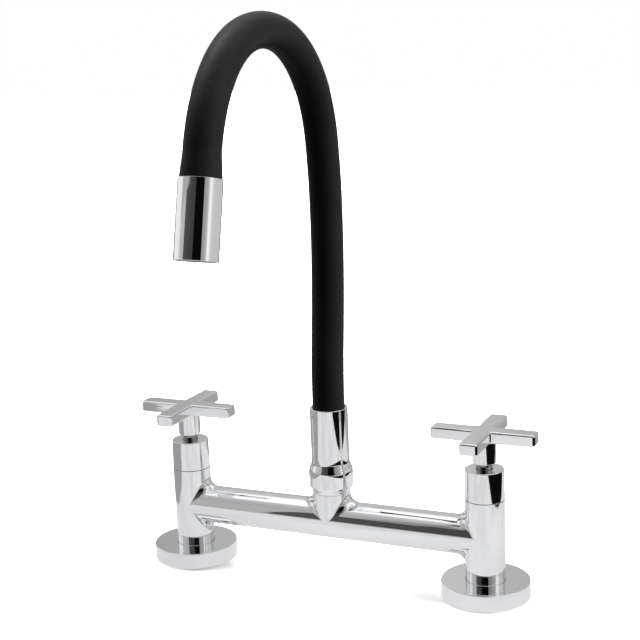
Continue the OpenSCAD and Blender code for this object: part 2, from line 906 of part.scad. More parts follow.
module swivel_spigot() {
    bore_r = spigot_bore_d / 2;
    tail_top = pocket_z - root_tail_l;
    groove_r = swivel_ring_r - swivel_ring_t / 2 - fit_gap;
    groove_h = swivel_ring_t + 2 * axial_gap;
    color(BRASS)
        difference() {
            rotate_extrude()
                polygon([
                    [bore_r, spigot_foot_z],
                    [spigot_r, spigot_foot_z],
                    [spigot_r, socket_foot_z],
                    [shank_r, socket_foot_z],
                    [shank_r, pocket_z],
                    [root_tail_r + fit_gap, pocket_z],
                    [root_tail_r + fit_gap, tail_top],
                    [bore_r, tail_top]
                ]);
            for (z = swivel_ring_zs)
                tube(z - groove_h / 2, groove_h, spigot_r + 1, groove_r);
            tube(retainer_z - axial_gap, retainer_t + 2 * axial_gap, spigot_r + 1, retainer_bore_r - fit_gap);
        }
}

module swivel_seals() {
    color(RUBBER)
        for (z = swivel_ring_zs)
            ring(z, swivel_ring_r, swivel_ring_t);
}

// Split ring that sits in the spigot's groove and springs out into the riser's.
module retaining_ring() {
    split = 3;
    color(NYLON)
        difference() {
            tube(retainer_z, retainer_t, retainer_r, retainer_bore_r);
            translate([0, -split / 2, retainer_z - eps])
                cube([2 * retainer_r, split, retainer_t + 2 * eps]);
        }
}

// Gooseneck.

// Half section of a ball at the origin, cut flat in front, with its mouth flared for the hose.
module ball_section() {
    difference() {
        intersection() {
            circle(r = ball_r);
            translate([0, -ball_r])
                square([ball_r, ball_r + ball_cut]);
        }
        polygon([
            [-eps, -ball_r - eps],
            [link_bore_r, -ball_r - eps],
            [link_bore_r, 0],
            [mouth_r, ball_cut + eps],
            [-eps, ball_cut + eps]
        ]);
    }
}

module gooseneck_root() {
    color(STEEL)
        union() {
            translate([0, 0, mouth_z])
                rotate_extrude()
                    ball_section();
            rotate_extrude()
                polygon([
                    [link_bore_r, pocket_z - root_tail_l],
                    [root_tail_r, pocket_z - root_tail_l],
                    [root_tail_r, pocket_z],
                    [root_r, pocket_z],
                    [root_r, mouth_z - neck_l - cup_taper_l],
                    [neck_r, mouth_z - neck_l],
                    [neck_r, mouth_z],
                    [link_bore_r, mouth_z]
                ]);
        }
}

// Cup that wraps the ball of the link before it, tapering to the link's tube.
module link_cup() {
    rotate_extrude()
        polygon([
            [0, -cup_lip],
            [cup_r, -cup_lip],
            [cup_r, cup_l],
            [neck_r, cup_l + cup_taper_l],
            [0, cup_l + cup_taper_l]
        ]);
}

// Link i, from the ball before it to its own ball or, on the last one, to the outlet's stub.
module gooseneck_link(i) {
    last = i == LINKS - 1;
    tube_l = last ? link_l : link_l - neck_l;
    color(STEEL)
        difference() {
            union() {
                at_station(i)
                    link_cup();
                rod_arc(i, cup_l + cup_taper_l / 2, tube_l, link_r);
                if (!last)
                    rod_arc(i, tube_l - lap, link_l, neck_r);
                at_station(i + 1)
                    if (last)
                        translate([0, 0, -lap])
                            cylinder(r = stub_r, h = stub_l + lap);
                    else
                        difference() {
                            sphere(r = ball_r);
                            translate([0, 0, ball_cut + ball_r])
                                cube(2 * ball_r, center = true);
                        }
            }
            at_station(i)
                sphere(r = cup_bore_r);
            rod_arc(i, 0, link_l + lap, link_bore_r);
            at_station(i + 1)
                translate([0, 0, -lap / 2])
                    if (last)
                        cylinder(r = link_bore_r - lap / 2, h = stub_l + lap);
                    else
                        cylinder(r1 = link_bore_r - lap / 2, r2 = mouth_r, h = ball_cut + lap / 2 + eps);
        }
}
module gooseneck_link_1() { gooseneck_link(0); }
module gooseneck_link_2() { gooseneck_link(1); }
module gooseneck_link_3() { gooseneck_link(2); }
module gooseneck_link_4() { gooseneck_link(3); }
module gooseneck_link_5() { gooseneck_link(4); }
module gooseneck_link_6() { gooseneck_link(5); }
module gooseneck_link_7() { gooseneck_link(6); }
module gooseneck_link_8() { gooseneck_link(7); }
module gooseneck_link_9() { gooseneck_link(8); }

// The sleeve runs from the socket's pocket round the arch and flares over the adaptor.
module silicone_sleeve() {
    end = LINKS * link_l;
    tail_bore_r = tail_r - hose_wall;
    color(SILICONE)
        hose(
            [
                [fit_gap - pocket_l, hose_r, hose_bore_r],
                for (s = hose_stops) [s, hose_r, hose_bore_r],
                [end, hose_r, hose_bore_r],
                [end + tail_l, tail_r, tail_bore_r],
                [end + tail_l + outlet_recess - fit_gap, tail_r, tail_bore_r]
            ],
            24
        );
}

module water_hose() {
    r = water_hose_d / 2;
    bore_r = r - water_hose_wall;
    end = LINKS * link_l;
    color(NYLON)
        hose(
            [
                [hose_foot - pocket_l - root_tail_l, r, bore_r],
                for (s = hose_stops) [s, r, bore_r],
                [end, r, bore_r],
                [end + hose_end, r, bore_r]
            ],
            12
        );
}

// Outlet, built along the spout's axis past the last link.

module outlet_adaptor() {
    foot = 2;
    foot_r = hose_bore_r + (tail_r - hose_r) * foot / tail_l - loose_gap;
    stub_end = stub_l + fit_gap;
    color(BRASS)
        at_station(LINKS)
            rotate_extrude()
                polygon([
                    [stub_r + fit_gap, foot],
                    [foot_r, foot],
                    [adaptor_r, tail_l],
                    [adaptor_r, web_z],
                    [adaptor_thread_r, web_z],
                    [adaptor_thread_r, web_z + outlet_thread_l],
                    [hose_port_r, web_z + outlet_thread_l],
                    [hose_port_r, hose_end + fit_gap],
                    [water_hose_d / 2 + fit_gap, hose_end + fit_gap],
                    [water_hose_d / 2 + fit_gap, stub_end],
                    [stub_r + fit_gap, stub_end]
                ]);
}

module outlet_barrel() {
    thread_bore_r = adaptor_thread_r + fit_gap;
    chamber_bore_r = mouth_bore_r - chamber_step;
    lip = 0.3;
    color(CHROME)
        at_station(LINKS)
            rotate_extrude()
                polygon([
                    [recess_r, tail_l],
                    [outlet_r, tail_l],
                    [outlet_r, barrel_end - lip],
                    [outlet_r - lip, barrel_end],
                    [mouth_bore_r, barrel_end],
                    [mouth_bore_r, washer_back],
                    [chamber_bore_r, washer_back],
                    [chamber_bore_r, web_z + web_l],
                    [thread_bore_r, web_z + web_l],
                    [thread_bore_r, web_z],
                    [recess_r, web_z]
                ]);
}

module aerator_washer() {
    color(RUBBER)
        at_station(LINKS)
            tube(washer_back, washer_t, aerator_r, aerator_r - washer_w);
}

// Plastic cup with a ring of jets in its back.
module aerator_housing() {
    jets = 12;
    color(NYLON)
        at_station(LINKS)
            translate([0, 0, aerator_back])
                difference() {
                    cylinder(r = aerator_r, h = aerator_h);
                    translate([0, 0, aerator_wall])
                        cylinder(r = aerator_r - aerator_wall, h = aerator_h);
                    for (k = [0:jets - 1])
                        rotate(k * 360 / jets)
                            translate([aerator_r / 2, 0, -eps])
                                cylinder(d = jet_d, h = aerator_wall + 2 * eps);
                }
}

// Crossed ribs in the mouth that straighten the stream.
module aerator_mesh() {
    mesh_r = aerator_r - aerator_wall - fit_gap;
    pitch = 2 * mesh_r / (grid_ribs + 1);
    color(NYLON)
        at_station(LINKS)
            translate([0, 0, aerator_face - mesh_t - mesh_inset])
                linear_extrude(mesh_t)
                    union() {
                        difference() {
                            circle(r = mesh_r);
                            circle(r = mesh_r - mesh_rim);
                        }
                        intersection() {
                            circle(r = mesh_r - mesh_rim / 2);
                            for (turn = [0, 90], k = [1:grid_ribs])
                                rotate(turn)
                                    translate([0, k * pitch - mesh_r])
                                        square([2 * mesh_r, mesh_rib], center = true);
                        }
                    }
}

bridge_body();
left_inlet_collar();
right_inlet_collar();
left_flange();
right_flange();
left_flange_gasket();
right_flange_gasket();
left_seat_seal();
right_seat_seal();
left_cartridge_body();
right_cartridge_body();
left_fixed_disc();
right_fixed_disc();
left_moving_disc();
right_moving_disc();
left_spindle();
right_spindle();
left_spindle_seals();
right_spindle_seals();
left_spindle_clip();
right_spindle_clip();
left_bonnet_sleeve();
right_bonnet_sleeve();
left_cross_handle();
right_cross_handle();
left_grub_screw();
right_grub_screw();
spout_socket();
swivel_spigot();
swivel_seals();
retaining_ring();
gooseneck_root();
gooseneck_link_1();
gooseneck_link_2();
gooseneck_link_3();
gooseneck_link_4();
gooseneck_link_5();
gooseneck_link_6();
gooseneck_link_7();
gooseneck_link_8();
gooseneck_link_9();
silicone_sleeve();
water_hose();
outlet_adaptor();
outlet_barrel();
aerator_washer();
aerator_housing();
aerator_mesh();
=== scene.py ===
"""Looks of the bridge kitchen mixer tap: chrome bridge casting, cross handles, flexible black spout and outlet.

The frame gives the solids, their places and the joints. The chrome pieces that show are rebuilt here as smooth
surfaces of the same size, and the spout's sleeve and hose as tubes along the spout's curve, one piece round each
joint.
"""

import json
import math

import bmesh
import bpy
import numpy as np
from bpy.props import FloatProperty, FloatVectorProperty, IntProperty, PointerProperty
from mathutils import Matrix, Vector


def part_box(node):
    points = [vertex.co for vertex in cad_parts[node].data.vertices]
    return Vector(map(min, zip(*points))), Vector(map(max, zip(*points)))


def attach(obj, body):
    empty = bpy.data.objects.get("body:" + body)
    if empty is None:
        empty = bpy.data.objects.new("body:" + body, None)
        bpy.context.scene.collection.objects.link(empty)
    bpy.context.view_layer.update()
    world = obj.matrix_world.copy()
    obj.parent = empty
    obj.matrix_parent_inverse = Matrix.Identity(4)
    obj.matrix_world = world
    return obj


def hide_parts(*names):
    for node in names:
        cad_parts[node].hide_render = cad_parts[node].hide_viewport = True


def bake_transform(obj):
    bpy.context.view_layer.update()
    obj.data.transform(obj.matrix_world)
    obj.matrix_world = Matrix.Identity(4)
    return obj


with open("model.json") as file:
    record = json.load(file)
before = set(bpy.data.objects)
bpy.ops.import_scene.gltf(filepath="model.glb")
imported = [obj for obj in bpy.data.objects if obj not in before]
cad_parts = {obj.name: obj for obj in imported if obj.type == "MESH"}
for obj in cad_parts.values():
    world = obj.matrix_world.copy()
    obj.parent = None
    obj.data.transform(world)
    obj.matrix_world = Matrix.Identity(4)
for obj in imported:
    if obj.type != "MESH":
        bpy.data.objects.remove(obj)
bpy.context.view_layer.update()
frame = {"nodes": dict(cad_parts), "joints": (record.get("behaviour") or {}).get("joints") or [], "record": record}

bl_info = {
    "name": "Bridge Mixer Tap",
    "version": (1, 0, 0),
    "blender": (4, 5, 0),
    "location": "3D View > Sidebar > Tap",
    "description": "Dresses the solids of a bridge kitchen mixer tap in polished chrome and black silicone",
    "category": "Object",
}

NODES = frame["nodes"]
JOINTS = {joint["name"]: joint for joint in frame["joints"]}
INLET_X = JOINTS["right_handle_turn"]["pos_m"][0]
INLETS = (("left", -INLET_X), ("right", INLET_X))
BENDS = sorted((name for name in JOINTS if name.startswith("spout_bend_")), key=lambda name: int(name.split("_")[-1]))

# Sizes inside the pieces, as in the CAD, in metres.
CHAMBER_WALL, SEAT_R, RISER_BORE_R, COLLAR_SOCKET_R, COLLAR_SOCKET_GAP = 0.0023, 0.005, 0.00858, 0.00995, 0.0002
INLET_R, INLET_DEPTH, COLLAR_BORE_R, SPIGOT_R, SPIGOT_EDGE, FLANGE_GAP = 0.0093, 0.012, 0.007, 0.0099, 0.0003, 0.00015
BONNET_WALL, BONNET_ROOF, HUB_OVERLAP, HUB_CORE, HUB_DEPTH = 0.0012, 0.0014, 0.001, 0.001, 0.014
SHANK_R, POCKET_R, POCKET_DEPTH = 0.009, 0.0103, 0.03
OUTLET_WALL, MOUTH_DEPTH, CHAMBER_R = 0.0012, 0.014, 0.00955
WEB_DEPTH, WEB_THICKNESS, WEB_BORE_R = 0.0015, 0.004, 0.0087
# How far the sleeve and the hose reach down past the socket's mouth, and up past the sleeve's flare or the last link.
SLEEVE_FOOT, SLEEVE_TUCK, HOSE_FOOT, HOSE_TUCK = 0.0298, 0.0013, 0.041, 0.018
# The socket's bulge: where its underside begins and ends, the radii of those corners, and the spread of its swell.
UNDERSIDE_START, UNDERSIDE_END, UNDERSIDE_ROUNDS = 0.001, 0.0042, (0.0018, 0.0022)
SWELL_CORE, SWELL_REACH, SWELL_POINTS = 0.0024, 0.007, 57
# The least radius of a corner, how near points are joined, and the turn between faces from which an edge is sharp.
LEAST_ROUND, JOINED, SHARP = 0.00005, 1e-6, math.radians(40)


def metres(name, description, default):
    """Property for a length."""
    return FloatProperty(name=name, description=description, default=default, unit="LENGTH")


class TapSizes(bpy.types.PropertyGroup):
    """Sizes that the frame's boxes don't give, and the fineness of the surfaces."""

    bridge_height: metres("Bridge height", "Height of the cross tube's axis", 0.037)
    blend_radius: metres("Blend radius", "Radius of the cast blends", 0.0065)
    riser_radius: metres("Riser radius", "Outer radius of the centre riser and the spout socket", 0.0119)
    riser_top: metres("Riser top", "Height of the centre riser's end", 0.0558)
    edge: metres("Edge", "Radius of the polished outer edges", 0.0004)
    seam_edge: metres("Seam edge", "Radius of the edges along a seam", 0.00013)
    swivel_edge: metres("Swivel edge", "Radius of the edges where the socket turns on the riser", 0.00001)
    swell_height: metres("Swell height", "Height where the socket widens most steeply", 0.0724)
    sleeve_draft: metres("Sleeve draft", "How much a bonnet sleeve narrows upwards", 0.00035)
    arm_width: metres("Arm width", "Width of a handle arm", 0.0111)
    arm_height: metres("Arm height", "Thickness of a handle arm", 0.0074)
    arm_edge: metres("Arm edge", "Radius of the handle arms' edges", 0.0013)
    hub_radius: metres("Hub radius", "Radius of the handles' hubs", 0.0071)
    hub_bore: metres("Hub bore", "Radius of the hubs' socket for the spindle", 0.00405)
    neck_hole: metres("Neck hole", "Radius of the hole in a bonnet sleeve's roof", 0.0052)
    collar_top: metres("Collar top", "Height where the collars meet the pillars", 0.0162)
    flange_wall: metres("Flange wall", "Wall of the cover flanges", 0.0016)
    flange_edge: metres("Flange edge", "Radius of the cover flanges' rim", 0.0005)
    sleeve_radius: metres("Sleeve radius", "Outer radius of the silicone sleeve", 0.009995)
    tail_radius: metres("Tail radius", "Outer radius of the sleeve's flared end", 0.0111)
    outlet_recess_radius: metres("Outlet recess", "Radius of the recess that takes the tail", 0.01115)
    hose_radius: metres("Hose radius", "Outer radius of the water hose", 0.004)
    sleeve_wall: metres("Sleeve wall", "Wall of the silicone sleeve", 0.00175)
    hose_wall: metres("Hose wall", "Wall of the water hose", 0.001)
    round_steps: IntProperty(
        name="Steps round", description="Faces round a turned piece", default=128, min=32, max=256)


class TapFinish(bpy.types.PropertyGroup):
    """Colours and gloss of the finishes."""

    chrome: FloatVectorProperty(
        name="Chrome", description="Colour of the polished plating", subtype="COLOR", size=3,
        default=(0.86, 0.865, 0.875))
    chrome_roughness: FloatProperty(
        name="Chrome roughness", description="Haze of the polished plating", default=0.035, min=0, max=1)
    silicone: FloatVectorProperty(
        name="Silicone", description="Colour of the black sleeve", subtype="COLOR", size=3,
        default=(0.0135, 0.0135, 0.0138))
    silicone_roughness: FloatProperty(
        name="Silicone roughness", description="Roughness of the black sleeve", default=0.45, min=0, max=1)


class TapStage(bpy.types.PropertyGroup):
    """Camera, floor and light."""

    camera_place: FloatVectorProperty(
        name="Camera place", description="Where the camera stands", subtype="TRANSLATION", size=3,
        default=(0.330323, -0.736594, 0.341807))
    camera_yaw: FloatProperty(
        name="Yaw", description="Camera's turn round the tap", subtype="ANGLE", default=math.radians(24.385))
    camera_pitch: FloatProperty(
        name="Pitch", description="Camera's tilt down", subtype="ANGLE", default=math.radians(12.331))
    camera_roll: FloatProperty(
        name="Roll", description="Camera's roll", subtype="ANGLE", default=math.radians(-2.195))
    lens: FloatProperty(
        name="Lens", description="Focal length on a 36 mm sensor", default=76.05, min=10, max=300)
    sheet_edges: FloatVectorProperty(
        name="Sheet edges", description="Left, right and back edge of the pale sheet that the chrome mirrors",
        subtype="TRANSLATION", size=3, default=(-0.205, 0.265, 0.215))
    screen_right: FloatVectorProperty(
        name="Screen right", description="Right foot of the dark screen in front of the tap", subtype="TRANSLATION",
        size=3, default=(0.39, -0.45, 0.078))
    screen_left: FloatVectorProperty(
        name="Screen left", description="Left foot of the dark screen", subtype="TRANSLATION", size=3,
        default=(-0.25, -0.45, 0.078))
    screen_height: metres("Screen height", "Height of the dark screen", 0.292)
    screen_step: metres("Screen step", "From here to the right the dark screen is higher", -0.13)
    card_left: metres("Card left", "Left edge of the grey card over the screen", -0.75)
    card_step: metres("Card step", "From here to the left the card is lighter and twice as high", -0.2)
    card_height: metres("Card height", "Top of the grey card", 0.9)
    light_right: FloatVectorProperty(
        name="Light from the right", description="Direction of the lower soft light on matt surfaces",
        subtype="DIRECTION", size=3, default=(0.841, 0.357, 0.407))
    light_behind: FloatVectorProperty(
        name="Light from behind", description="Direction of the higher soft light on matt surfaces",
        subtype="DIRECTION", size=3, default=(-0.476, 0.321, 0.819))
    floor_colour: FloatVectorProperty(
        name="Floor", description="Colour of the floor", subtype="COLOR", size=3, default=(0.9, 0.9, 0.9))


# Shapes: every surface is a grid of points, worked out as whole arrays.


def turned(profile, angles, place=None):
    """Grid of a turned surface: profile point (radius, height) at angle t is (radius cos t, radius sin t, height),
    moved by the 4x4 array place where one is given."""
    profile = np.asarray(profile, float)
    radius, height = profile[:, :1], profile[:, 1:]
    grid = np.stack([radius * np.cos(angles), radius * np.sin(angles), height + 0 * angles], axis=-1)
    if place is not None:
        grid = grid @ place[:3, :3].T + place[:3, 3]
    return grid


def rounded(corners, radii, steps=6):
    """Outline through corners, each replaced by an arc of its radius.
    An arc starts a tangent length r tan(turn / 2) before its corner, and at the share s of its turn it has gone
    r sin(s turn) along the incoming line and r (1 - cos(s turn)) towards the inside of the bend."""
    corners = np.asarray(corners, float)
    radii = np.broadcast_to(np.asarray(radii, float), (len(corners),))[:, None]
    ahead = np.roll(corners, -1, 0) - corners
    behind = corners - np.roll(corners, 1, 0)
    ahead /= np.maximum(np.linalg.norm(ahead, axis=1, keepdims=True), 1e-12)
    behind /= np.maximum(np.linalg.norm(behind, axis=1, keepdims=True), 1e-12)
    cross = behind[:, 0] * ahead[:, 1] - behind[:, 1] * ahead[:, 0]
    turn = np.arctan2(cross, (behind * ahead).sum(1))[:, None]
    side = np.sign(turn) * np.stack([-behind[:, 1], behind[:, 0]], 1)
    start = corners - behind * radii * np.tan(np.abs(turn) / 2)
    share = np.abs(turn) * np.linspace(0, 1, steps + 1)
    arcs = (
        start[:, None]
        + (radii * np.sin(share))[..., None] * behind[:, None]
        + (radii * (1 - np.cos(share)))[..., None] * side[:, None]
    )
    return arcs.reshape(-1, 2)


def ring_profile(corners, radii, steps=6):
    """A rounded outline of (radius, height) points, closed so that it turns into a ring."""
    outline = rounded(corners, radii, steps)
    return np.vstack([outline, outline[:1]])


def between(low, high, steps):
    """Grid rows from the points low to the points high, in even steps."""
    share = np.linspace(0, 1, steps + 1)[:, None, None]
    return low[None] * (1 - share) + high[None] * share


def mirrored(grids):
    """The same grids, reflected in the plane x = 0."""
    return [grid * np.array([-1.0, 1.0, 1.0]) for grid in grids]


def shell(name, grids, material, uvs=None):
    """One closed mesh from grids that share their borders: points that coincide are joined, and the faces then
    turned outwards. Faces are quads between neighbouring grid points."""
    points, faces, offset = [], [], 0
    for grid in grids:
        rows, columns = grid.shape[:2]
        index = offset + np.arange(rows * columns).reshape(rows, columns)
        faces.append(np.stack([index[:-1, :-1], index[1:, :-1], index[1:, 1:], index[:-1, 1:]], -1).reshape(-1, 4))
        points.append(grid.reshape(-1, 3))
        offset += rows * columns
    points, faces = np.concatenate(points), np.concatenate(faces)
    mesh = bpy.data.meshes.new(name)
    mesh.from_pydata(points.tolist(), [], faces.tolist())
    if uvs is not None:
        layer = mesh.uv_layers.new(name="UVMap")
        flat = np.concatenate([uv.reshape(-1, 2) for uv in uvs])[faces.ravel()]
        layer.data.foreach_set("uv", flat.astype(np.float32).ravel())
    work = bmesh.new()
    work.from_mesh(mesh)
    bmesh.ops.remove_doubles(work, verts=work.verts, dist=JOINED)
    bmesh.ops.recalc_face_normals(work, faces=work.faces)
    work.to_mesh(mesh)
    work.free()
    mesh.shade_smooth()
    mesh.set_sharp_from_angle(angle=SHARP)
    mesh.materials.append(material)
    piece = bpy.data.objects.new(name, mesh)
    bpy.context.scene.collection.objects.link(piece)
    even = piece.modifiers.new("Even shading", "WEIGHTED_NORMAL")
    even.keep_sharp = True
    return piece


def place_at(origin, axis):
    """4x4 array that carries the origin to a point and +Z to an axis in the plane x = 0, leaving +X alone."""
    axis = np.asarray(axis, float) / np.linalg.norm(axis)
    side = np.array([1.0, 0.0, 0.0])
    place = np.eye(4)
    place[:3, :3] = np.stack([side, np.cross(axis, side), axis], 1)
    place[:3, 3] = origin
    return place


def upright(x):
    """4x4 array that moves a piece turned about the Z axis to the inlet at x."""
    place = np.eye(4)
    place[0, 3] = x
    return place


def box_of(node):
    """Lowest and highest corner of a CAD node, as arrays."""
    low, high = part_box(node)
    return np.array(low), np.array(high)


def points_of(node):
    """The CAD node's vertices, as an array."""
    mesh = NODES[node].data
    points = np.empty(len(mesh.vertices) * 3, np.float32)
    mesh.vertices.foreach_get("co", points)
    return points.reshape(-1, 3).astype(float)


def circle_steps(sizes):
    """Angles of a full turn, the last equal to the first, as the grids need."""
    return np.linspace(0, 2 * math.pi, sizes.round_steps + 1)


# The spout's centreline.


def spout_line():
    """Stations and leans of the centreline. It leaves the socket upright, each link is an arc, and a chord leans by
    the mean of the leans at its ends, so each station's lean is twice the chord's lean less the one before.
    The last arc has the same length, and ends with the lean of the outlet barrel."""
    stations = np.array([JOINTS[name]["pos_m"] for name in BENDS])
    reach, height = -stations[:, 1], stations[:, 2]
    leans = [0.0]
    for chord in np.arctan2(np.diff(reach), np.diff(height)) % (2 * math.pi):
        chord = chord - 2 * math.pi if chord > math.pi + 0.5 else chord
        leans.append(2 * chord - leans[-1])
    mount = next(mount for mount in frame["record"]["mounts"] if mount["name"] == "outlet_end")
    last = math.atan2(-mount["axis"][1], mount["axis"][2])
    bend = leans[1] - leans[0]
    chord_length = math.hypot(reach[1] - reach[0], height[1] - height[0])
    length = chord_length * (bend / 2) / math.sin(bend / 2)
    radius = length / (last - leans[-1])
    end = [
        reach[-1] + radius * (math.cos(leans[-1]) - math.cos(last)),
        height[-1] + radius * (math.sin(last) - math.sin(leans[-1])),
    ]
    return np.append(reach, end[0]), np.append(height, end[1]), np.array(leans + [last]), length


REACH, HEIGHT, LEAN, LINK = spout_line()
# Share of a link to either side of a joint, most metres from ring to ring, and faces round.
BEND_REACH, RING_STEP, HOSE_ROUND = 0.35, 0.0011, 64
OUTLET_AXIS = np.array([0.0, -math.sin(LEAN[-1]), math.cos(LEAN[-1])])
OUTLET_START = np.array([0.0, -REACH[-1], HEIGHT[-1]])


def track(length):
    """Point and lean of the centreline at the lengths past the socket's mouth: upright below 0, then along the arc
    of the link that holds the length, and straight on past the last one."""
    length = np.asarray(length, float)
    link = np.clip(np.floor(length / LINK), 0, len(LEAN) - 2).astype(int)
    run = np.clip(length - link * LINK, 0, LINK)
    before = np.minimum(length, 0)
    past = np.maximum(length - LINK * (len(LEAN) - 1), 0)
    bend = LEAN[link + 1] - LEAN[link]
    radius = LINK / bend
    start = LEAN[link]
    lean = start + bend * run / LINK
    reach = REACH[link] + radius * (np.cos(start) - np.cos(lean)) + past * np.sin(lean)
    height = HEIGHT[link] + radius * (np.sin(lean) - np.sin(start)) + past * np.cos(lean) + before
    return np.stack([0 * reach, -reach, height], -1), lean


def tube_grid(lengths, radii, angles):
    """Grid of a tube round the centreline: at each length a ring of that radius, square to the line."""
    centre, lean = track(lengths)
    side = np.zeros_like(centre)
    side[:, 0] = 1
    normal = np.stack([0 * lean, np.cos(lean), np.sin(lean)], -1)
    radii = np.asarray(radii, float)[:, None, None]
    turn = np.cos(angles)[None, :, None] * side[:, None] + np.sin(angles)[None, :, None] * normal[:, None]
    return centre[:, None] + radii * turn


def spout_tube(name, lengths, outer, wall, material):
    """One stretch of a hose with its bore, along the centreline over the given lengths."""
    steps = np.linspace(0, 2 * math.pi, HOSE_ROUND + 1)
    outside, inside = tube_grid(lengths, outer, steps), tube_grid(lengths, outer - wall, steps)
    grids = [outside, inside, between(outside[0], inside[0], 1), between(outside[-1], inside[-1], 1)]
    around = np.linspace(0, 1, len(steps))
    uvs = [np.stack(np.meshgrid(around, np.linspace(0, 1, grid.shape[0])), -1) for grid in grids]
    for uv in uvs[:2]:
        uv[..., 0] *= 2 * math.pi * np.max(outer)
        uv[..., 1] = lengths[:, None]
    piece = shell(name, grids, material, uvs)
    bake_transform(piece)
    return piece


def spout_pieces(name, start, end, outer, wall, node, material):
    """Hose in one stretch per joint, from middle to middle of the links."""
    cuts = np.concatenate([[start], LINK * (np.arange(len(BENDS) - 1) + 0.5), [end]])
    for k in range(len(BENDS)):
        low, high = cuts[k], cuts[k + 1]
        lengths = np.linspace(low, high, 2 + int(math.ceil((high - low) / RING_STEP)))
        spout_tube(
            "%s_%d" % (name, k + 1), lengths, outer(lengths), wall, material)
    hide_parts(node)


# Materials.


class Graph:
    """A material's or world's node tree, with short calls for the nodes used here."""

    def __init__(self, owner):
        owner.use_nodes = True
        self.tree = owner.node_tree
        self.tree.nodes.clear()

    def node(self, kind, **settings):
        made = self.tree.nodes.new(kind)
        for key, value in settings.items():
            setattr(made, key, value)
        return made

    def link(self, out, into):
        self.tree.links.new(out, into)

    def feed(self, socket, value):
        """Sets a socket to a number, or links another node's output to it."""
        if isinstance(value, bpy.types.NodeSocket):
            self.link(value, socket)
        elif value is not None:
            socket.default_value = value

    def math(self, operation, a, b=None, c=None):
        made = self.node("ShaderNodeMath", operation=operation)
        for socket, value in zip(made.inputs, (a, b, c)):
            self.feed(socket, value)
        return made.outputs[0]

    def ramp(self, value, low, high, to_low=0.0, to_high=1.0):
        """Carries value from low..high to to_low..to_high, easing in and out, and clamped."""
        made = self.node("ShaderNodeMapRange", interpolation_type="SMOOTHSTEP")
        for socket, given in zip(made.inputs, (value, low, high, to_low, to_high)):
            self.feed(socket, given)
        return made.outputs["Result"]

    def stops(self, value, pairs):
        """Grey level that runs through the pairs of a value and its level."""
        made = self.node("ShaderNodeValToRGB")
        self.link(value, made.inputs[0])
        elements = made.color_ramp.elements
        while len(elements) < len(pairs):
            elements.new(0.5)
        for element, (place, level) in zip(elements, pairs):
            element.position = place
        for element, (place, level) in zip(elements, pairs):
            element.color = (level, level, level, 1.0)
        return made.outputs[0]

    def mix(self, share, a, b):
        """Colour a at share 0 and colour b at share 1."""
        made = self.node("ShaderNodeMix", data_type="RGBA")
        self.feed(made.inputs[0], share)
        self.feed(made.inputs[6], a)
        self.feed(made.inputs[7], b)
        return made.outputs[2]

    def noise(self, vector, scale, detail=3.0, roughness=0.5):
        made = self.node("ShaderNodeTexNoise")
        self.link(vector, made.inputs["Vector"])
        made.inputs["Scale"].default_value = scale
        made.inputs["Detail"].default_value = detail
        made.inputs["Roughness"].default_value = roughness
        return made.outputs["Fac"]

    def bump(self, height, distance, strength=1.0):
        made = self.node("ShaderNodeBump")
        made.inputs["Strength"].default_value = strength
        made.inputs["Distance"].default_value = distance
        self.link(height, made.inputs["Height"])
        return made.outputs["Normal"]

    def axes(self):
        """X, Y and Z of the object coordinates."""
        split = self.node("ShaderNodeSeparateXYZ")
        self.link(self.node("ShaderNodeTexCoord").outputs["Object"], split.inputs[0])
        return tuple(split.outputs)

    def output(self, shader, kind="Material"):
        self.link(shader.outputs[0], self.node("ShaderNodeOutput" + kind).inputs["Surface"])

    def surface(self, base, metallic, roughness, normal=None, **sockets):
        """A Principled surface on the material's output. Names in sockets have _ for a space."""
        shader = self.node("ShaderNodeBsdfPrincipled")
        self.feed(shader.inputs["Base Color"], base)
        self.feed(shader.inputs["Metallic"], metallic)
        self.feed(shader.inputs["Roughness"], roughness)
        if normal is not None:
            self.link(normal, shader.inputs["Normal"])
        for key, value in sockets.items():
            shader.inputs[key.replace("_", " ")].default_value = value
        self.output(shader)


def colour(rgb, share=1.0):
    """The colour with each level times share, at most 1."""
    return (*(min(1.0, level * share) for level in rgb), 1.0)


def grey(level, blue=None):
    """A grey, or one whose blue is a little off."""
    return (level, level, level if blue is None else blue, 1.0)


def object_place(graph, scale=(1, 1, 1)):
    """Object coordinates, stretched by scale."""
    place = graph.node("ShaderNodeTexCoord").outputs["Object"]
    mapping = graph.node("ShaderNodeMapping")
    mapping.inputs["Scale"].default_value = scale
    graph.link(place, mapping.inputs["Vector"])
    return mapping.outputs["Vector"]


def chrome(graph):
    """Mirror plating: a faint haze in soft patches, hairline polishing marks and a trace of colour drift."""
    chosen = bpy.context.scene.tap_finish
    place = object_place(graph)
    haze = graph.noise(place, 38.0, 4.0, 0.55)
    marks = graph.noise(object_place(graph, (60, 60, 2400)), 1.0, 2.0, 0.6)
    rough = chosen.chrome_roughness
    roughness = graph.math(
        "ADD", graph.ramp(haze, 0.42, 0.72, rough * 0.7, rough * 1.6), graph.math("MULTIPLY", marks, rough * 0.35))
    tint = graph.ramp(graph.noise(place, 9.0, 2.0), 0.35, 0.65)
    base = graph.mix(tint, colour(chosen.chrome), colour(chosen.chrome, 1.015))
    swell = graph.noise(place, 32.0, 1.0, 0.4)
    graph.surface(base, 1.0, roughness, graph.bump(swell, 0.00008, 0.5))


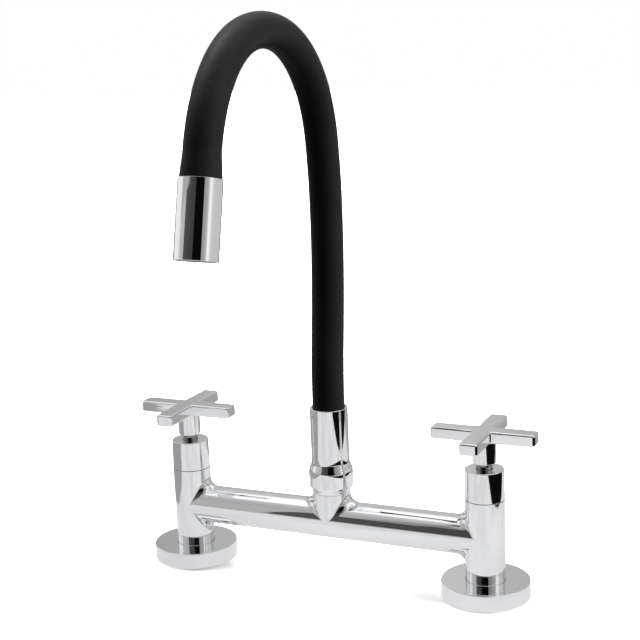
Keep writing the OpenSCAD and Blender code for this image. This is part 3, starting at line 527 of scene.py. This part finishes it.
def silicone(graph):
    """Satin silicone: fine moulded grain, soft worn sheen and a little dust in the grain."""
    chosen = bpy.context.scene.tap_finish
    place = graph.node("ShaderNodeTexCoord").outputs["UV"]
    grain = graph.noise(place, 2600.0, 3.0, 0.6)
    handled = graph.noise(place, 45.0, 4.0, 0.5)
    base = graph.mix(graph.ramp(handled, 0.4, 0.75), colour(chosen.silicone), colour(chosen.silicone, 1.12))
    rough = chosen.silicone_roughness
    roughness = graph.math(
        "ADD", graph.ramp(handled, 0.3, 0.7, rough * 0.92, rough * 1.08), graph.math("MULTIPLY", grain, 0.04))
    graph.surface(base, 0.0, roughness, graph.bump(grain, 0.00002, 0.35), Specular_IOR_Level=0.03)


def turned_metal(graph, base, roughness, ring_scale=900.0):
    """Machined metal that doesn't show much: fine turning rings across Z and patchy oxide."""
    rings = graph.noise(object_place(graph, (8, 8, ring_scale)), 1.0, 2.0, 0.6)
    patches = graph.noise(object_place(graph), 60.0, 4.0, 0.6)
    shade = graph.mix(graph.ramp(patches, 0.4, 0.7), colour(base), colour(base, 0.82))
    rough = graph.ramp(rings, 0.3, 0.7, roughness * 0.75, roughness * 1.3)
    graph.surface(shade, 1.0, rough, graph.bump(rings, 0.00002, 0.4))


def moulded(graph, base, roughness, grain=900.0, dark=0.85):
    """Moulded plastic, rubber or ceramic: a fine grain, with slightly darker patches."""
    place = object_place(graph)
    fine = graph.noise(place, grain, 3.0, 0.55)
    patches = graph.noise(place, 70.0, 3.0, 0.5)
    shade = graph.mix(graph.ramp(patches, 0.35, 0.7), colour(base), colour(base, dark))
    rough = graph.ramp(fine, 0.3, 0.7, roughness * 0.9, roughness * 1.1)
    graph.surface(shade, 0.0, rough, graph.bump(fine, 0.00002, 0.3))


def floor_paint(graph):
    """Matt pale floor with the slightest mottling."""
    rgb = bpy.context.scene.tap_stage.floor_colour
    mottle = graph.noise(object_place(graph), 14.0, 3.0, 0.5)
    base = graph.mix(graph.ramp(mottle, 0.3, 0.7), colour(rgb), colour(rgb, 0.995))
    graph.surface(base, 0.0, 0.85, Specular_IOR_Level=0.1)


FINISHES = {
    "polished_chrome": (chrome,),
    "satin_silicone": (silicone,),
    "turned_brass": (turned_metal, (0.72, 0.53, 0.27), 0.22),
    # Spindle metal painted dark grey: painted shade of the gap between the bonnet sleeve and the handle's hub.
    "dark_spindle": (turned_metal, (0.3, 0.3, 0.305), 0.08, 300.0),
    "dark_nickel": (turned_metal, (0.11, 0.11, 0.115), 0.3),
    "spring_steel": (turned_metal, (0.5, 0.51, 0.53), 0.24),
    "turned_alloy": (turned_metal, (0.62, 0.63, 0.65), 0.3),
    "moulded_rubber": (moulded, (0.022, 0.022, 0.023), 0.6),
    "lapped_ceramic": (moulded, (0.86, 0.85, 0.82), 0.12, 1500.0, 0.96),
    "white_nylon": (moulded, (0.74, 0.74, 0.72), 0.42),
    "grey_nylon": (moulded, (0.18, 0.18, 0.185), 0.45),
    "pale_floor": (floor_paint,),
}


def finish_of(name):
    """The finish of that name, made when it is first asked for. The CAD's own flat materials have other names."""
    material = bpy.data.materials.get(name)
    if material is None:
        material = bpy.data.materials.new(name)
        paint, *values = FINISHES[name]
        paint(Graph(material), *values)
    return material


# Chrome pieces.


class Casting:
    """The bridge casting as the surface of its tubes and of the balls that roll in their corners.

    Tube angles run from +Z towards +Y about the cross tube's axis. Where a ball of radius r rolls between the cross
    tube (radius b) and an upright tube (radius a), its centre at tube angle t is (b + r) sin t to the side,
    (b + r) cos t up, and the root of (a + r)^2 - ((b + r) sin t)^2 from the upright's axis.
    """

    walls = 8
    arcs = 10
    half = 60
    shoulder = 4

    def __init__(self, sizes):
        low, high = box_of("bridge_body")
        self.bridge_z = sizes.bridge_height
        self.blend = sizes.blend_radius
        self.pillar_r = high[0] - INLET_X
        self.bridge_r = high[1]
        self.riser_r = sizes.riser_radius
        self.edge = sizes.edge
        self.seam = sizes.seam_edge
        self.swivel = sizes.swivel_edge
        self.foot_z, self.top_z = low[2], high[2]
        self.riser_top = sizes.riser_top
        riser_track = self.riser_r + self.blend
        bridge_track = self.bridge_r + self.blend
        self.riser_angles = np.linspace(-math.pi / 2, math.pi / 2, self.half + 1)
        crown = np.arcsin(riser_track * np.sin(self.riser_angles) / bridge_track)
        rest = np.linspace(crown[-1], math.pi / 2, self.shoulder + 1)
        self.crown = crown
        self.rest = np.concatenate([rest, math.pi - rest[::-1][1:]])
        self.upper = np.concatenate([-rest[::-1], crown[1:-1], rest])

    def centre(self, upright_r, angles):
        """Ball centres beside an upright tube on the Z axis, in the half where x > 0. z is from the bridge's axis."""
        side = (self.bridge_r + self.blend) * np.sin(angles)
        away = np.sqrt(np.maximum((upright_r + self.blend) ** 2 - side ** 2, 0))
        return np.stack([away, side, (self.bridge_r + self.blend) * np.cos(angles)], -1)

    def contacts(self, upright_r, centre):
        """Where the ball touches the upright and the cross tube."""
        on_upright = centre * [[upright_r / (upright_r + self.blend)] * 2 + [1]]
        share = self.bridge_r / (self.bridge_r + self.blend)
        return on_upright, centre * [[1, share, share]]

    def fillet(self, upright_r, angles):
        """Grid of the ball's face between its two contacts."""
        centre = self.centre(upright_r, angles)
        on_upright, on_tube = self.contacts(upright_r, centre)
        arms = between(on_upright, on_tube, self.arcs) - centre[None]
        return centre[None] + arms * (self.blend / np.linalg.norm(arms, axis=-1, keepdims=True))

    def wall(self, contact, end_z):
        """Straight rows from a contact line on an upright tube to the height end_z above the bridge's axis."""
        end = contact.copy()
        end[:, 2] = end_z
        return between(contact, end, self.walls)

    def tube_line(self, angles, x):
        """Points on the cross tube at the angles and distances x along it."""
        return np.stack([x + 0 * angles, self.bridge_r * np.sin(angles), self.bridge_r * np.cos(angles)], -1)

    def pillar(self):
        """Grids of the pillar on the Z axis with the bridge towards +X, and of its blends."""
        lower = math.pi - self.upper
        foot = self.foot_z + self.edge - self.bridge_z
        top = self.top_z - self.seam - self.bridge_z
        on_upper = self.contacts(self.pillar_r, self.centre(self.pillar_r, self.upper))[0]
        on_lower = self.contacts(self.pillar_r, self.centre(self.pillar_r, lower))[0]
        behind = np.linspace(math.pi / 2, 3 * math.pi / 2, self.half + 1)
        back = turned([(self.pillar_r, 0)], behind)[0]
        grids = [
            self.fillet(self.pillar_r, self.upper),
            self.fillet(self.pillar_r, lower),
            self.wall(on_upper, top),
            self.wall(on_lower, foot),
            self.wall(back, top),
            self.wall(back, foot),
        ]
        round_angles = np.concatenate([self.upper, behind[1:]])
        return grids + [turned(self.pillar_inside() - [0, self.bridge_z], round_angles)]

    def pillar_inside(self):
        """Profile over the pillar's upper rim, down its valve chamber, through the seat and out round its foot."""
        chamber_r = self.pillar_r - CHAMBER_WALL
        socket_z = box_of("left_inlet_collar")[1][2] + COLLAR_SOCKET_GAP
        seat_z = box_of("left_seat_seal")[0][2]
        r, e, seam = self.pillar_r, self.edge, self.seam
        corners = [
            (r, self.top_z - seam), (r, self.top_z), (chamber_r, self.top_z), (chamber_r, seat_z), (SEAT_R, seat_z),
            (SEAT_R, socket_z), (COLLAR_SOCKET_R, socket_z), (COLLAR_SOCKET_R, self.foot_z), (r, self.foot_z),
            (r, self.foot_z + e)]
        return rounded(corners, [0, seam, seam, 0, 0, 0, 0, seam, e, 0])

    def riser(self):
        """Grids of the riser's half on the side x > 0, and of its blend."""
        on_riser = self.contacts(self.riser_r, self.centre(self.riser_r, self.crown))[0]
        end_z = self.riser_top - self.swivel - self.bridge_z
        return [self.fillet(self.riser_r, self.crown), self.wall(on_riser, end_z)]

    def half_tube(self):
        """Grids of the cross tube from the pillar on the Z axis to the middle, cut back to both blends."""
        steps = 24
        far = self.centre(self.riser_r, self.crown)[:, 0]
        near = self.centre(self.pillar_r, self.crown)[:, 0]
        crown = between(self.tube_line(self.crown, near), self.tube_line(self.crown, INLET_X - far), steps)
        start = self.centre(self.pillar_r, self.rest)[:, 0]
        rest = between(self.tube_line(self.rest, start), self.tube_line(self.rest, INLET_X + 0 * start), steps)
        low_angles = math.pi - self.crown
        low_start = self.centre(self.pillar_r, low_angles)[:, 0]
        low_end = INLET_X + 0 * low_start
        low = between(self.tube_line(low_angles, low_start), self.tube_line(low_angles, low_end), steps)
        return [crown, rest, rest * [1, -1, 1], low]

    def grids(self):
        """All grids, with the left half made first and then mirrored."""
        shift = np.array([-INLET_X, 0, self.bridge_z])
        left = [grid + shift for grid in self.pillar() + self.half_tube()]
        left += [grid * [-1, 1, 1] + [0, 0, self.bridge_z] for grid in self.riser()]
        r, e, top = self.riser_r, self.swivel, self.riser_top
        profile = rounded(
            [(r, top - e), (r, top), (RISER_BORE_R, top), (RISER_BORE_R, self.bridge_z), (0, self.bridge_z)],
            [0, e, e, 0, 0])
        angles = np.concatenate([self.riser_angles, self.riser_angles[1:] + math.pi])
        return left + mirrored(left) + [turned(profile, angles)]


def plated(name, grids, *nodes, body):
    """A chrome piece from its grids, in the place of CAD nodes of the same size."""
    piece = shell(name, grids, finish_of("polished_chrome"))
    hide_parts(*nodes)
    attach(piece, body)


def flange_profile(low, high, bore_r, wall, edge):
    """Outline of a cover flange, hollow from below: a rounded shoulder and a small radius at the bore."""
    r, top = high[1], high[2]
    return ring_profile(
        [(bore_r, top - wall), (r - wall, top - wall), (r - wall, low[2]), (r, low[2]), (r, top), (bore_r, top)],
        [0, 0, 0, edge / 2, edge, edge / 2])


def cross_rows(sizes, length, bottom, top):
    """Outlines of the four arms from the underside to the top. An edge of radius e lies e(1 - cos s) inside the
    widest outline at the height e(1 - sin s) from the face, for s from 90 degrees to 0."""
    w, e = sizes.arm_width / 2, sizes.arm_edge
    quarter = np.linspace(0, math.pi / 2, 7)
    inset = np.concatenate([e * (1 - np.sin(quarter)), e * (1 - np.sin(quarter[::-1]))])
    heights = np.concatenate([bottom + e * (1 - np.cos(quarter)), top - e * (1 - np.cos(quarter[::-1]))])
    rows = []
    for step, z in zip(inset, heights):
        far, near = length - step, w - step
        outline = [
            (far, -near), (far, near), (near, near), (near, far), (-near, far), (-near, near),
            (-far, near), (-far, -near), (-near, -near), (-near, -far), (near, -far), (near, -near)]
        outside, inside = max(1.5 * e - step, LEAST_ROUND), 0.5 * e + step
        line = rounded(outline, [outside, outside, inside] * 4)
        line = np.vstack([line, line[:1]])
        rows.append(np.column_stack([line, np.full(len(line), z)]))
    return np.array(rows)


def cap(row, steps=5):
    """Flat grid from a closed outline to its middle."""
    middle = np.array([[0.0, 0.0, row[0, 2]]])
    return between(row, np.repeat(middle, len(row), 0), steps)


# Operators, one for a piece or group of pieces.


class TAP_OT_casting(bpy.types.Operator):
    """Build the bridge casting with its cast blends"""

    bl_idname = "tap.casting"
    bl_label = "Bridge casting"

    def execute(self, context):
        sizes = context.scene.tap_sizes
        plated("bridge_casting", Casting(sizes).grids(), "bridge_body", body="base")
        return {"FINISHED"}


class TAP_OT_feet(bpy.types.Operator):
    """Build the inlet collars and the cover flanges on the worktop"""

    bl_idname = "tap.feet"
    bl_label = "Collars and flanges"

    def execute(self, context):
        sizes = context.scene.tap_sizes
        angles = circle_steps(sizes)
        for side, x in INLETS:
            node = side + "_inlet_collar"
            low, high = box_of(node)
            r, top, shoulder = high[1], high[2], sizes.collar_top
            outline = ring_profile(
                [(INLET_R, low[2]), (r, low[2]), (r, shoulder), (SPIGOT_R, shoulder), (SPIGOT_R, top),
                 (COLLAR_BORE_R, top), (COLLAR_BORE_R, INLET_DEPTH), (INLET_R, INLET_DEPTH)],
                [0, sizes.edge, 0, 0, SPIGOT_EDGE, SPIGOT_EDGE, 0, 0])
            plated(side + "_collar", [turned(outline, angles, upright(x))], node, body="base")
            node = side + "_flange"
            low, high = box_of(node)
            outline = flange_profile(low, high, r + FLANGE_GAP, sizes.flange_wall, sizes.flange_edge)
            plated(side + "_cover_flange", [turned(outline, angles, upright(x))], node, body="base")
        return {"FINISHED"}


class TAP_OT_headwork(bpy.types.Operator):
    """Build the bonnet sleeves above the seam"""

    bl_idname = "tap.headwork"
    bl_label = "Bonnet sleeves"

    def execute(self, context):
        sizes = context.scene.tap_sizes
        angles = circle_steps(sizes)
        for side, x in INLETS:
            node = side + "_bonnet_sleeve"
            low, high = box_of(node)
            r, top = high[1], high[2]
            bore, roof, hole = r - BONNET_WALL, top - BONNET_ROOF, sizes.neck_hole
            e, seam = sizes.edge, sizes.seam_edge
            outline = ring_profile(
                [(bore, low[2]), (r, low[2]), (r - sizes.sleeve_draft, top), (hole, top), (hole, roof), (bore, roof)],
                [seam, seam, 1.2 * e, seam, 0, 0])
            plated(side + "_sleeve", [turned(outline, angles, upright(x))], node, body="base")
        return {"FINISHED"}


class TAP_OT_handles(bpy.types.Operator):
    """Build the cross handles"""

    bl_idname = "tap.handles"
    bl_label = "Cross handles"

    def execute(self, context):
        sizes = context.scene.tap_sizes
        angles = circle_steps(sizes)
        for side, x in INLETS:
            node = side + "_cross_handle"
            low, high = box_of(node)
            top, bottom = high[2], high[2] - sizes.arm_height
            rows = cross_rows(sizes, high[1], bottom, top)
            move = np.array([x, 0, 0])
            e, hub, bore = sizes.edge, sizes.hub_radius, sizes.hub_bore
            end, plug = bottom + HUB_OVERLAP, low[2] + HUB_DEPTH
            outline = ring_profile(
                [(bore, low[2]), (hub, low[2]), (hub, end), (HUB_CORE, end), (HUB_CORE, plug), (bore, plug)],
                [e / 2, e, 0, 0, 0, 0])
            grids = [rows + move, cap(rows[0]) + move, cap(rows[-1]) + move, turned(outline, angles, upright(x))]
            plated(side + "_handle_cross", grids, node, body=side + "_handle")
        return {"FINISHED"}


class TAP_OT_socket(bpy.types.Operator):
    """Build the spout socket. Its slope is highest at the swell height and falls off as s / (1 + (d / c)^2) - t with
    the distance d from it, down to nothing at the reach, so the radius follows arctan(d / c) less an even part."""

    bl_idname = "tap.socket"
    bl_label = "Spout socket"

    def execute(self, context):
        sizes = context.scene.tap_sizes
        low, high = box_of("spout_socket")
        bulge, riser = high[1], sizes.riser_radius
        foot, mouth, pocket_z = low[2], high[2], high[2] - POCKET_DEPTH
        run = np.linspace(-SWELL_REACH, SWELL_REACH, SWELL_POINTS)
        swell = np.arctan(run / SWELL_CORE) - run / SWELL_CORE / (1 + (SWELL_REACH / SWELL_CORE) ** 2)
        share = (swell - swell[0]) / (swell[-1] - swell[0])
        flare = np.column_stack([riser + (bulge - riser) * share, sizes.swell_height - run])
        corners = [
            (SHANK_R, foot), (riser, foot), (riser, foot + UNDERSIDE_START), (bulge, foot + UNDERSIDE_END),
            *flare[::-1], (riser, mouth), (POCKET_R, mouth), (POCKET_R, pocket_z), (SHANK_R, pocket_z)]
        radii = [0, sizes.swivel_edge, *UNDERSIDE_ROUNDS] + [0] * len(flare) + [sizes.edge, sizes.seam_edge, 0, 0]
        outline = ring_profile(corners, radii)
        plated("spout_cup", [turned(outline, circle_steps(sizes))], "spout_socket", body="spout")
        return {"FINISHED"}


class TAP_OT_outlet(bpy.types.Operator):
    """Build the chrome outlet barrel"""

    bl_idname = "tap.outlet"
    bl_label = "Outlet barrel"

    def execute(self, context):
        sizes = context.scene.tap_sizes
        offset = points_of("outlet_barrel") - OUTLET_START
        run = offset @ OUTLET_AXIS
        start, end = run.min(), run.max()
        r = np.linalg.norm(offset - run[:, None] * OUTLET_AXIS, axis=1).max()
        e, seam = sizes.edge, sizes.seam_edge
        recess, mouth, mouth_end = sizes.outlet_recess_radius, r - OUTLET_WALL, end - MOUTH_DEPTH
        web, web_end = start + WEB_DEPTH, start + WEB_DEPTH + WEB_THICKNESS
        outline = ring_profile(
            [(recess, start), (recess, web), (WEB_BORE_R, web), (WEB_BORE_R, web_end), (CHAMBER_R, web_end),
             (CHAMBER_R, mouth_end), (mouth, mouth_end), (mouth, end), (r, end), (r, start)],
            [seam, 0, 0, 0, 0, 0, 0, seam, e, seam])
        place = place_at(OUTLET_START, OUTLET_AXIS)
        plated("outlet_tube", [turned(outline, circle_steps(sizes), place)], "outlet_barrel", body="outlet")
        return {"FINISHED"}


class TAP_OT_sleeve(bpy.types.Operator):
    """Build the black silicone sleeve, flared where it meets the outlet"""

    bl_idname = "tap.sleeve"
    bl_label = "Silicone sleeve"

    def execute(self, context):
        sizes = context.scene.tap_sizes
        tail = LINK * len(BENDS)
        flare = ((points_of("outlet_barrel") - OUTLET_START) @ OUTLET_AXIS).min()

        def outer(lengths):
            """The sleeve's radius, rising evenly to the tail's radius over the flare."""
            return np.interp(lengths, [tail, tail + flare], [sizes.sleeve_radius, sizes.tail_radius])

        spout_pieces(
            "silicone_tube", -SLEEVE_FOOT, tail + flare + SLEEVE_TUCK, outer, sizes.sleeve_wall,
            "silicone_sleeve", finish_of("satin_silicone"))
        return {"FINISHED"}


class TAP_OT_hose(bpy.types.Operator):
    """Build the water hose inside the spout"""

    bl_idname = "tap.hose"
    bl_label = "Water hose"

    def execute(self, context):
        sizes = context.scene.tap_sizes

        def outer(lengths):
            return np.full(len(lengths), sizes.hose_radius)

        spout_pieces(
            "inner_hose", -HOSE_FOOT, LINK * len(BENDS) + HOSE_TUCK, outer, sizes.hose_wall, "water_hose",
            finish_of("white_nylon"))
        return {"FINISHED"}


INSIDE = {
    "moulded_rubber": ("flange_gasket", "seat_seal", "spindle_seals", "swivel_seals", "aerator_washer"),
    "spring_steel": ("spindle_clip", "grub_screw", "retaining_ring"),
    # The spindle takes the dark grey metal that paints the shade in the gap under the hub.
    "dark_spindle": ("spindle",),
    "dark_nickel": ("cartridge_body",),
    "lapped_ceramic": ("fixed_disc", "moving_disc"),
    "turned_brass": ("swivel_spigot", "outlet_adaptor"),
    "turned_alloy": ("gooseneck",),
    "white_nylon": ("aerator_housing",),
    "grey_nylon": ("aerator_mesh",),
}


class TAP_OT_inside(bpy.types.Operator):
    """Finish the valves, seals, swivel, gooseneck core and aerator"""

    bl_idname = "tap.inside"
    bl_label = "Inner parts"

    def execute(self, context):
        for name, node in NODES.items():
            plain = name.replace("left_", "").replace("right_", "")
            for finish, starts in INSIDE.items():
                if plain.startswith(starts):
                    node.data.materials.clear()
                    node.data.materials.append(finish_of(finish))
                    break
        return {"FINISHED"}


# Stage.

# Half the floor's side, how far the mirrored floor lies above it, and how much higher the screen is past its step.
# The grey card hangs a little behind the screen.
FLOOR_REACH, MIRROR_RISE, SCREEN_RISE, CARD_GAP = 6.0, 0.0006, 0.09, 0.001


def sheet(name, corners, material):
    """One flat face through its corners."""
    mesh = bpy.data.meshes.new(name)
    mesh.from_pydata([tuple(corner) for corner in corners], [], [tuple(range(len(corners)))])
    mesh.materials.append(material)
    made = bpy.data.objects.new(name, mesh)
    bpy.context.scene.collection.objects.link(made)
    return made


def square(z):
    """Corners of the floor's square at the height z."""
    return [(x * FLOOR_REACH, y * FLOOR_REACH, z) for x, y in ((-1, -1), (1, -1), (1, 1), (-1, 1))]


def mirror_sheet(name, corners, paint, *values):
    """A glowing sheet that is seen in reflections and nowhere else. Its colour comes from paint, which is given the
    graph, the X, Y and Z of the object coordinates and the values."""
    material = bpy.data.materials.new(name)
    graph = Graph(material)
    shader = graph.node("ShaderNodeEmission")
    graph.feed(shader.inputs["Color"], paint(graph, graph.axes(), *values))
    graph.output(shader)
    made = sheet(name, corners, material)
    made.visible_camera = False
    made.visible_diffuse = False
    made.visible_shadow = False
    made.visible_transmission = False
    return made


def heading(graph, vector, yaw):
    """Angle of a direction round Z from the way back to the camera, in turns of 360 degrees from -0.5 to 0.5, the
    sine of its elevation, and its part towards the camera. Positive turns go to the camera's right."""
    turned_by = graph.node("ShaderNodeVectorRotate", rotation_type="Z_AXIS")
    graph.link(vector, turned_by.inputs["Vector"])
    turned_by.inputs["Angle"].default_value = math.pi / 2 - yaw
    split = graph.node("ShaderNodeSeparateXYZ")
    graph.link(turned_by.outputs[0], split.inputs[0])
    angle = graph.math("ARCTAN2", split.outputs[1], split.outputs[0])
    return graph.math("MULTIPLY", angle, 0.5 / math.pi), split.outputs[2], split.outputs[0]


def soft_lobe(graph, direction, centre, edge, full, level):
    """Soft light round a centre of the sky: it starts where the cosine of the angle to the centre is edge, and would
    reach its level where it is full."""
    towards = graph.node("ShaderNodeVectorMath", operation="DOT_PRODUCT")
    graph.link(direction, towards.inputs[0])
    towards.inputs[1].default_value = Vector(centre).normalized()
    return graph.ramp(towards.outputs["Value"], edge, full, 0.0, level)


def studio_world(yaw, light_right, light_behind):
    """World: white for the camera, two soft lights in the sky for matt surfaces, and for mirrors a room.
    The room's walls change from window white to grey with the heading. Towards the camera they reach up to 30
    degrees, with brighter and brighter ceiling above them, and behind the tap they reach up to 53 degrees."""
    world = bpy.data.worlds.new("studio")
    bpy.context.scene.world = world
    graph = Graph(world)
    path = graph.node("ShaderNodeLightPath")
    direction = graph.node("ShaderNodeTexCoord").outputs["Generated"]
    turn, rise, near = heading(graph, direction, yaw)
    walls = graph.stops(graph.math("ADD", turn, 0.5), (
        (0.0, 0.56), (0.013, 0.49), (0.0214, 0.4), (0.04, 0.38), (0.1, 0.5), (0.13, 0.95), (0.23, 0.9), (0.26, 0.55),
        (0.45, 0.4), (0.556, 0.22), (0.575, 0.32), (0.62, 0.4), (0.645, 0.55), (0.66, 1.0), (0.685, 1.0),
        (0.705, 0.7), (0.74, 0.62), (0.8, 0.58), (0.83, 0.4), (0.9, 0.5), (0.95, 0.46), (0.9758, 0.49),
        (0.9864, 0.61), (1.0, 0.56)))
    ceiling = graph.stops(rise, (
        (0.0, 0.5), (0.515, 0.5), (0.643, 0.68), (0.743, 0.8), (0.829, 0.95), (0.883, 1.15), (0.927, 1.15),
        (0.966, 0.85)))
    before = graph.mix(graph.ramp(rise, 0.48, 0.56), walls, ceiling)
    behind = graph.mix(graph.ramp(rise, 0.77, 0.83), grey(0.55), ceiling)
    behind = graph.mix(graph.ramp(rise, 0.4, 0.5), walls, behind)
    room = graph.mix(graph.ramp(near, -0.15, 0.1), behind, before)
    soft = graph.math(
        "ADD", soft_lobe(graph, direction, light_right, edge=0.73, full=1.53, level=44.0),
        soft_lobe(graph, direction, light_behind, edge=0.79, full=1.59, level=162.0))
    soft = graph.math("MULTIPLY", soft, graph.ramp(rise, -0.01, 0.02))
    mirror = graph.mix(path.outputs["Is Glossy Ray"], soft, room)
    sky = graph.node("ShaderNodeBackground")
    graph.link(graph.mix(path.outputs["Is Camera Ray"], mirror, grey(1)), sky.inputs["Color"])
    graph.output(sky, "World")


def floor_seen(graph, place, left, right, back):
    """What the chrome sees of the floor: a pale sheet under the tap, black to its right, grey to its left and
    behind it, and light grey beyond the black."""
    x, y = place[:2]
    wave = graph.ramp(graph.noise(object_place(graph), 30.0, 2.0), 0.3, 0.7, -0.004, 0.004)
    x = graph.math("ADD", x, wave)
    swell = graph.ramp(graph.noise(object_place(graph), 7.0, 2.0), 0.3, 0.7)
    level = graph.mix(swell, grey(0.74, 0.745), grey(0.88, 0.885))
    level = graph.mix(graph.ramp(y, back, back + 0.02), level, grey(0.4))
    slanted = graph.math("MULTIPLY_ADD", graph.math("MAXIMUM", graph.math("SUBTRACT", -0.15, y), 0.0), 0.6, x)
    level = graph.mix(graph.ramp(slanted, left, left - 0.012), level, grey(0.36, 0.365))
    far = graph.math("MAXIMUM", graph.ramp(x, 0.8, 0.82), graph.ramp(y, 0.38, 0.4))
    beside = graph.mix(far, grey(0.004), grey(0.6))
    return graph.mix(graph.ramp(x, right, right + 0.006), level, beside)


def screen_seen(graph, place):
    """A dark screen, black at its right end and dark grey to the left."""
    left = graph.mix(graph.ramp(place[0], -0.25, 0.03), grey(0.085, 0.086), grey(0.055, 0.056))
    return graph.mix(graph.ramp(place[0], 0.035, 0.065), left, grey(0.003))


def card_seen(graph, place, low, high, step):
    """A grey card, lighter towards its top and to the left of its step."""
    right = graph.mix(graph.ramp(place[2], low, high), grey(0.27, 0.272), grey(0.42, 0.422))
    left = graph.mix(graph.ramp(place[2], low, 2 * high), grey(0.44, 0.443), grey(0.72, 0.723))
    return graph.mix(graph.ramp(place[0], step + 0.02, step - 0.02), right, left)


def soft_light(name, place, target, size, power):
    """Square soft light at place, turned to target and not mirrored."""
    lamp = bpy.data.lights.new(name, "AREA")
    lamp.shape = "SQUARE"
    lamp.size = size
    lamp.energy = power
    made = bpy.data.objects.new(name, lamp)
    made.location = place
    made.rotation_euler = (Vector(target) - Vector(place)).to_track_quat("-Z", "Y").to_euler()
    made.visible_glossy = False
    made.visible_camera = False
    bpy.context.scene.collection.objects.link(made)
    return made


class TAP_OT_stage(bpy.types.Operator):
    """Set the camera, the floor, the lights and the room that the chrome mirrors"""

    bl_idname = "tap.stage"
    bl_label = "Stage"

    def execute(self, context):
        stage = context.scene.tap_stage
        lens = bpy.data.cameras.new("photo_camera")
        lens.lens = stage.lens
        lens.sensor_width = 36
        lens.clip_start = 0.01
        camera = bpy.data.objects.new("photo_camera", lens)
        context.scene.collection.objects.link(camera)
        turn = (
            Matrix.Rotation(stage.camera_yaw, 4, "Z")
            @ Matrix.Rotation(math.pi / 2 - stage.camera_pitch, 4, "X")
            @ Matrix.Rotation(stage.camera_roll, 4, "Z")
        )
        camera.matrix_world = Matrix.Translation(stage.camera_place) @ turn
        context.scene.camera = camera
        floor = sheet("floor", square(0), finish_of("pale_floor"))
        floor.visible_diffuse = False
        mirrored_floor = mirror_sheet("mirrored_floor", square(MIRROR_RISE), floor_seen, *stage.sheet_edges)
        right, left = Vector(stage.screen_right), Vector(stage.screen_left)
        top, rise = Vector((0, 0, stage.screen_height)), Vector((0, 0, SCREEN_RISE))
        step = Vector((stage.screen_step, right[1], right[2])) + top
        screen = mirror_sheet(
            "dark_screen", [left, right, right + top + rise, step + rise, step, left + top], screen_seen)
        low, high, y = right[2] + stage.screen_height, stage.card_height, right[1] - CARD_GAP
        outline = [
            (stage.card_left, low), (right[0], low), (right[0], high), (stage.card_step, high),
            (stage.card_step, 2 * high), (stage.card_left, 2 * high)]
        card = mirror_sheet("grey_card", [(x, y, z) for x, z in outline], card_seen, low, high, stage.card_step)
        studio_world(stage.camera_yaw, stage.light_right, stage.light_behind)
        light = soft_light("top", place=(0.1, 0.3, 1.6), target=(0, 0, 0.1), size=1.2, power=1.5)
        context.scene.view_settings.view_transform = "Standard"
        return {"FINISHED"}


class TAP_PT_panel(bpy.types.Panel):
    """Sizes, finishes and the steps of the tap"""

    bl_idname = "TAP_PT_panel"
    bl_label = "Bridge mixer tap"
    bl_space_type = "VIEW_3D"
    bl_region_type = "UI"
    bl_category = "Tap"

    def draw(self, context):
        for group in (context.scene.tap_sizes, context.scene.tap_finish, context.scene.tap_stage):
            box = self.layout.box()
            for name in group.__annotations__:
                box.prop(group, name)
        for step in STEPS:
            self.layout.operator(step.bl_idname)


GROUPS = (("tap_sizes", TapSizes), ("tap_finish", TapFinish), ("tap_stage", TapStage))
STEPS = (
    TAP_OT_casting, TAP_OT_feet, TAP_OT_headwork, TAP_OT_handles, TAP_OT_socket, TAP_OT_outlet, TAP_OT_sleeve,
    TAP_OT_hose, TAP_OT_inside, TAP_OT_stage)


def register():
    for name, group in GROUPS:
        bpy.utils.register_class(group)
        setattr(bpy.types.Scene, name, PointerProperty(type=group))
    for step in STEPS + (TAP_PT_panel,):
        bpy.utils.register_class(step)


def unregister():
    for step in reversed(STEPS + (TAP_PT_panel,)):
        bpy.utils.unregister_class(step)
    for name, group in reversed(GROUPS):
        delattr(bpy.types.Scene, name)
        bpy.utils.unregister_class(group)


def main():
    register()
    bpy.ops.tap.casting()
    bpy.ops.tap.feet()
    bpy.ops.tap.headwork()
    bpy.ops.tap.handles()
    bpy.ops.tap.socket()
    bpy.ops.tap.outlet()
    bpy.ops.tap.sleeve()
    bpy.ops.tap.hose()
    bpy.ops.tap.inside()
    bpy.ops.tap.stage()


if __name__ == "__main__":
    main()
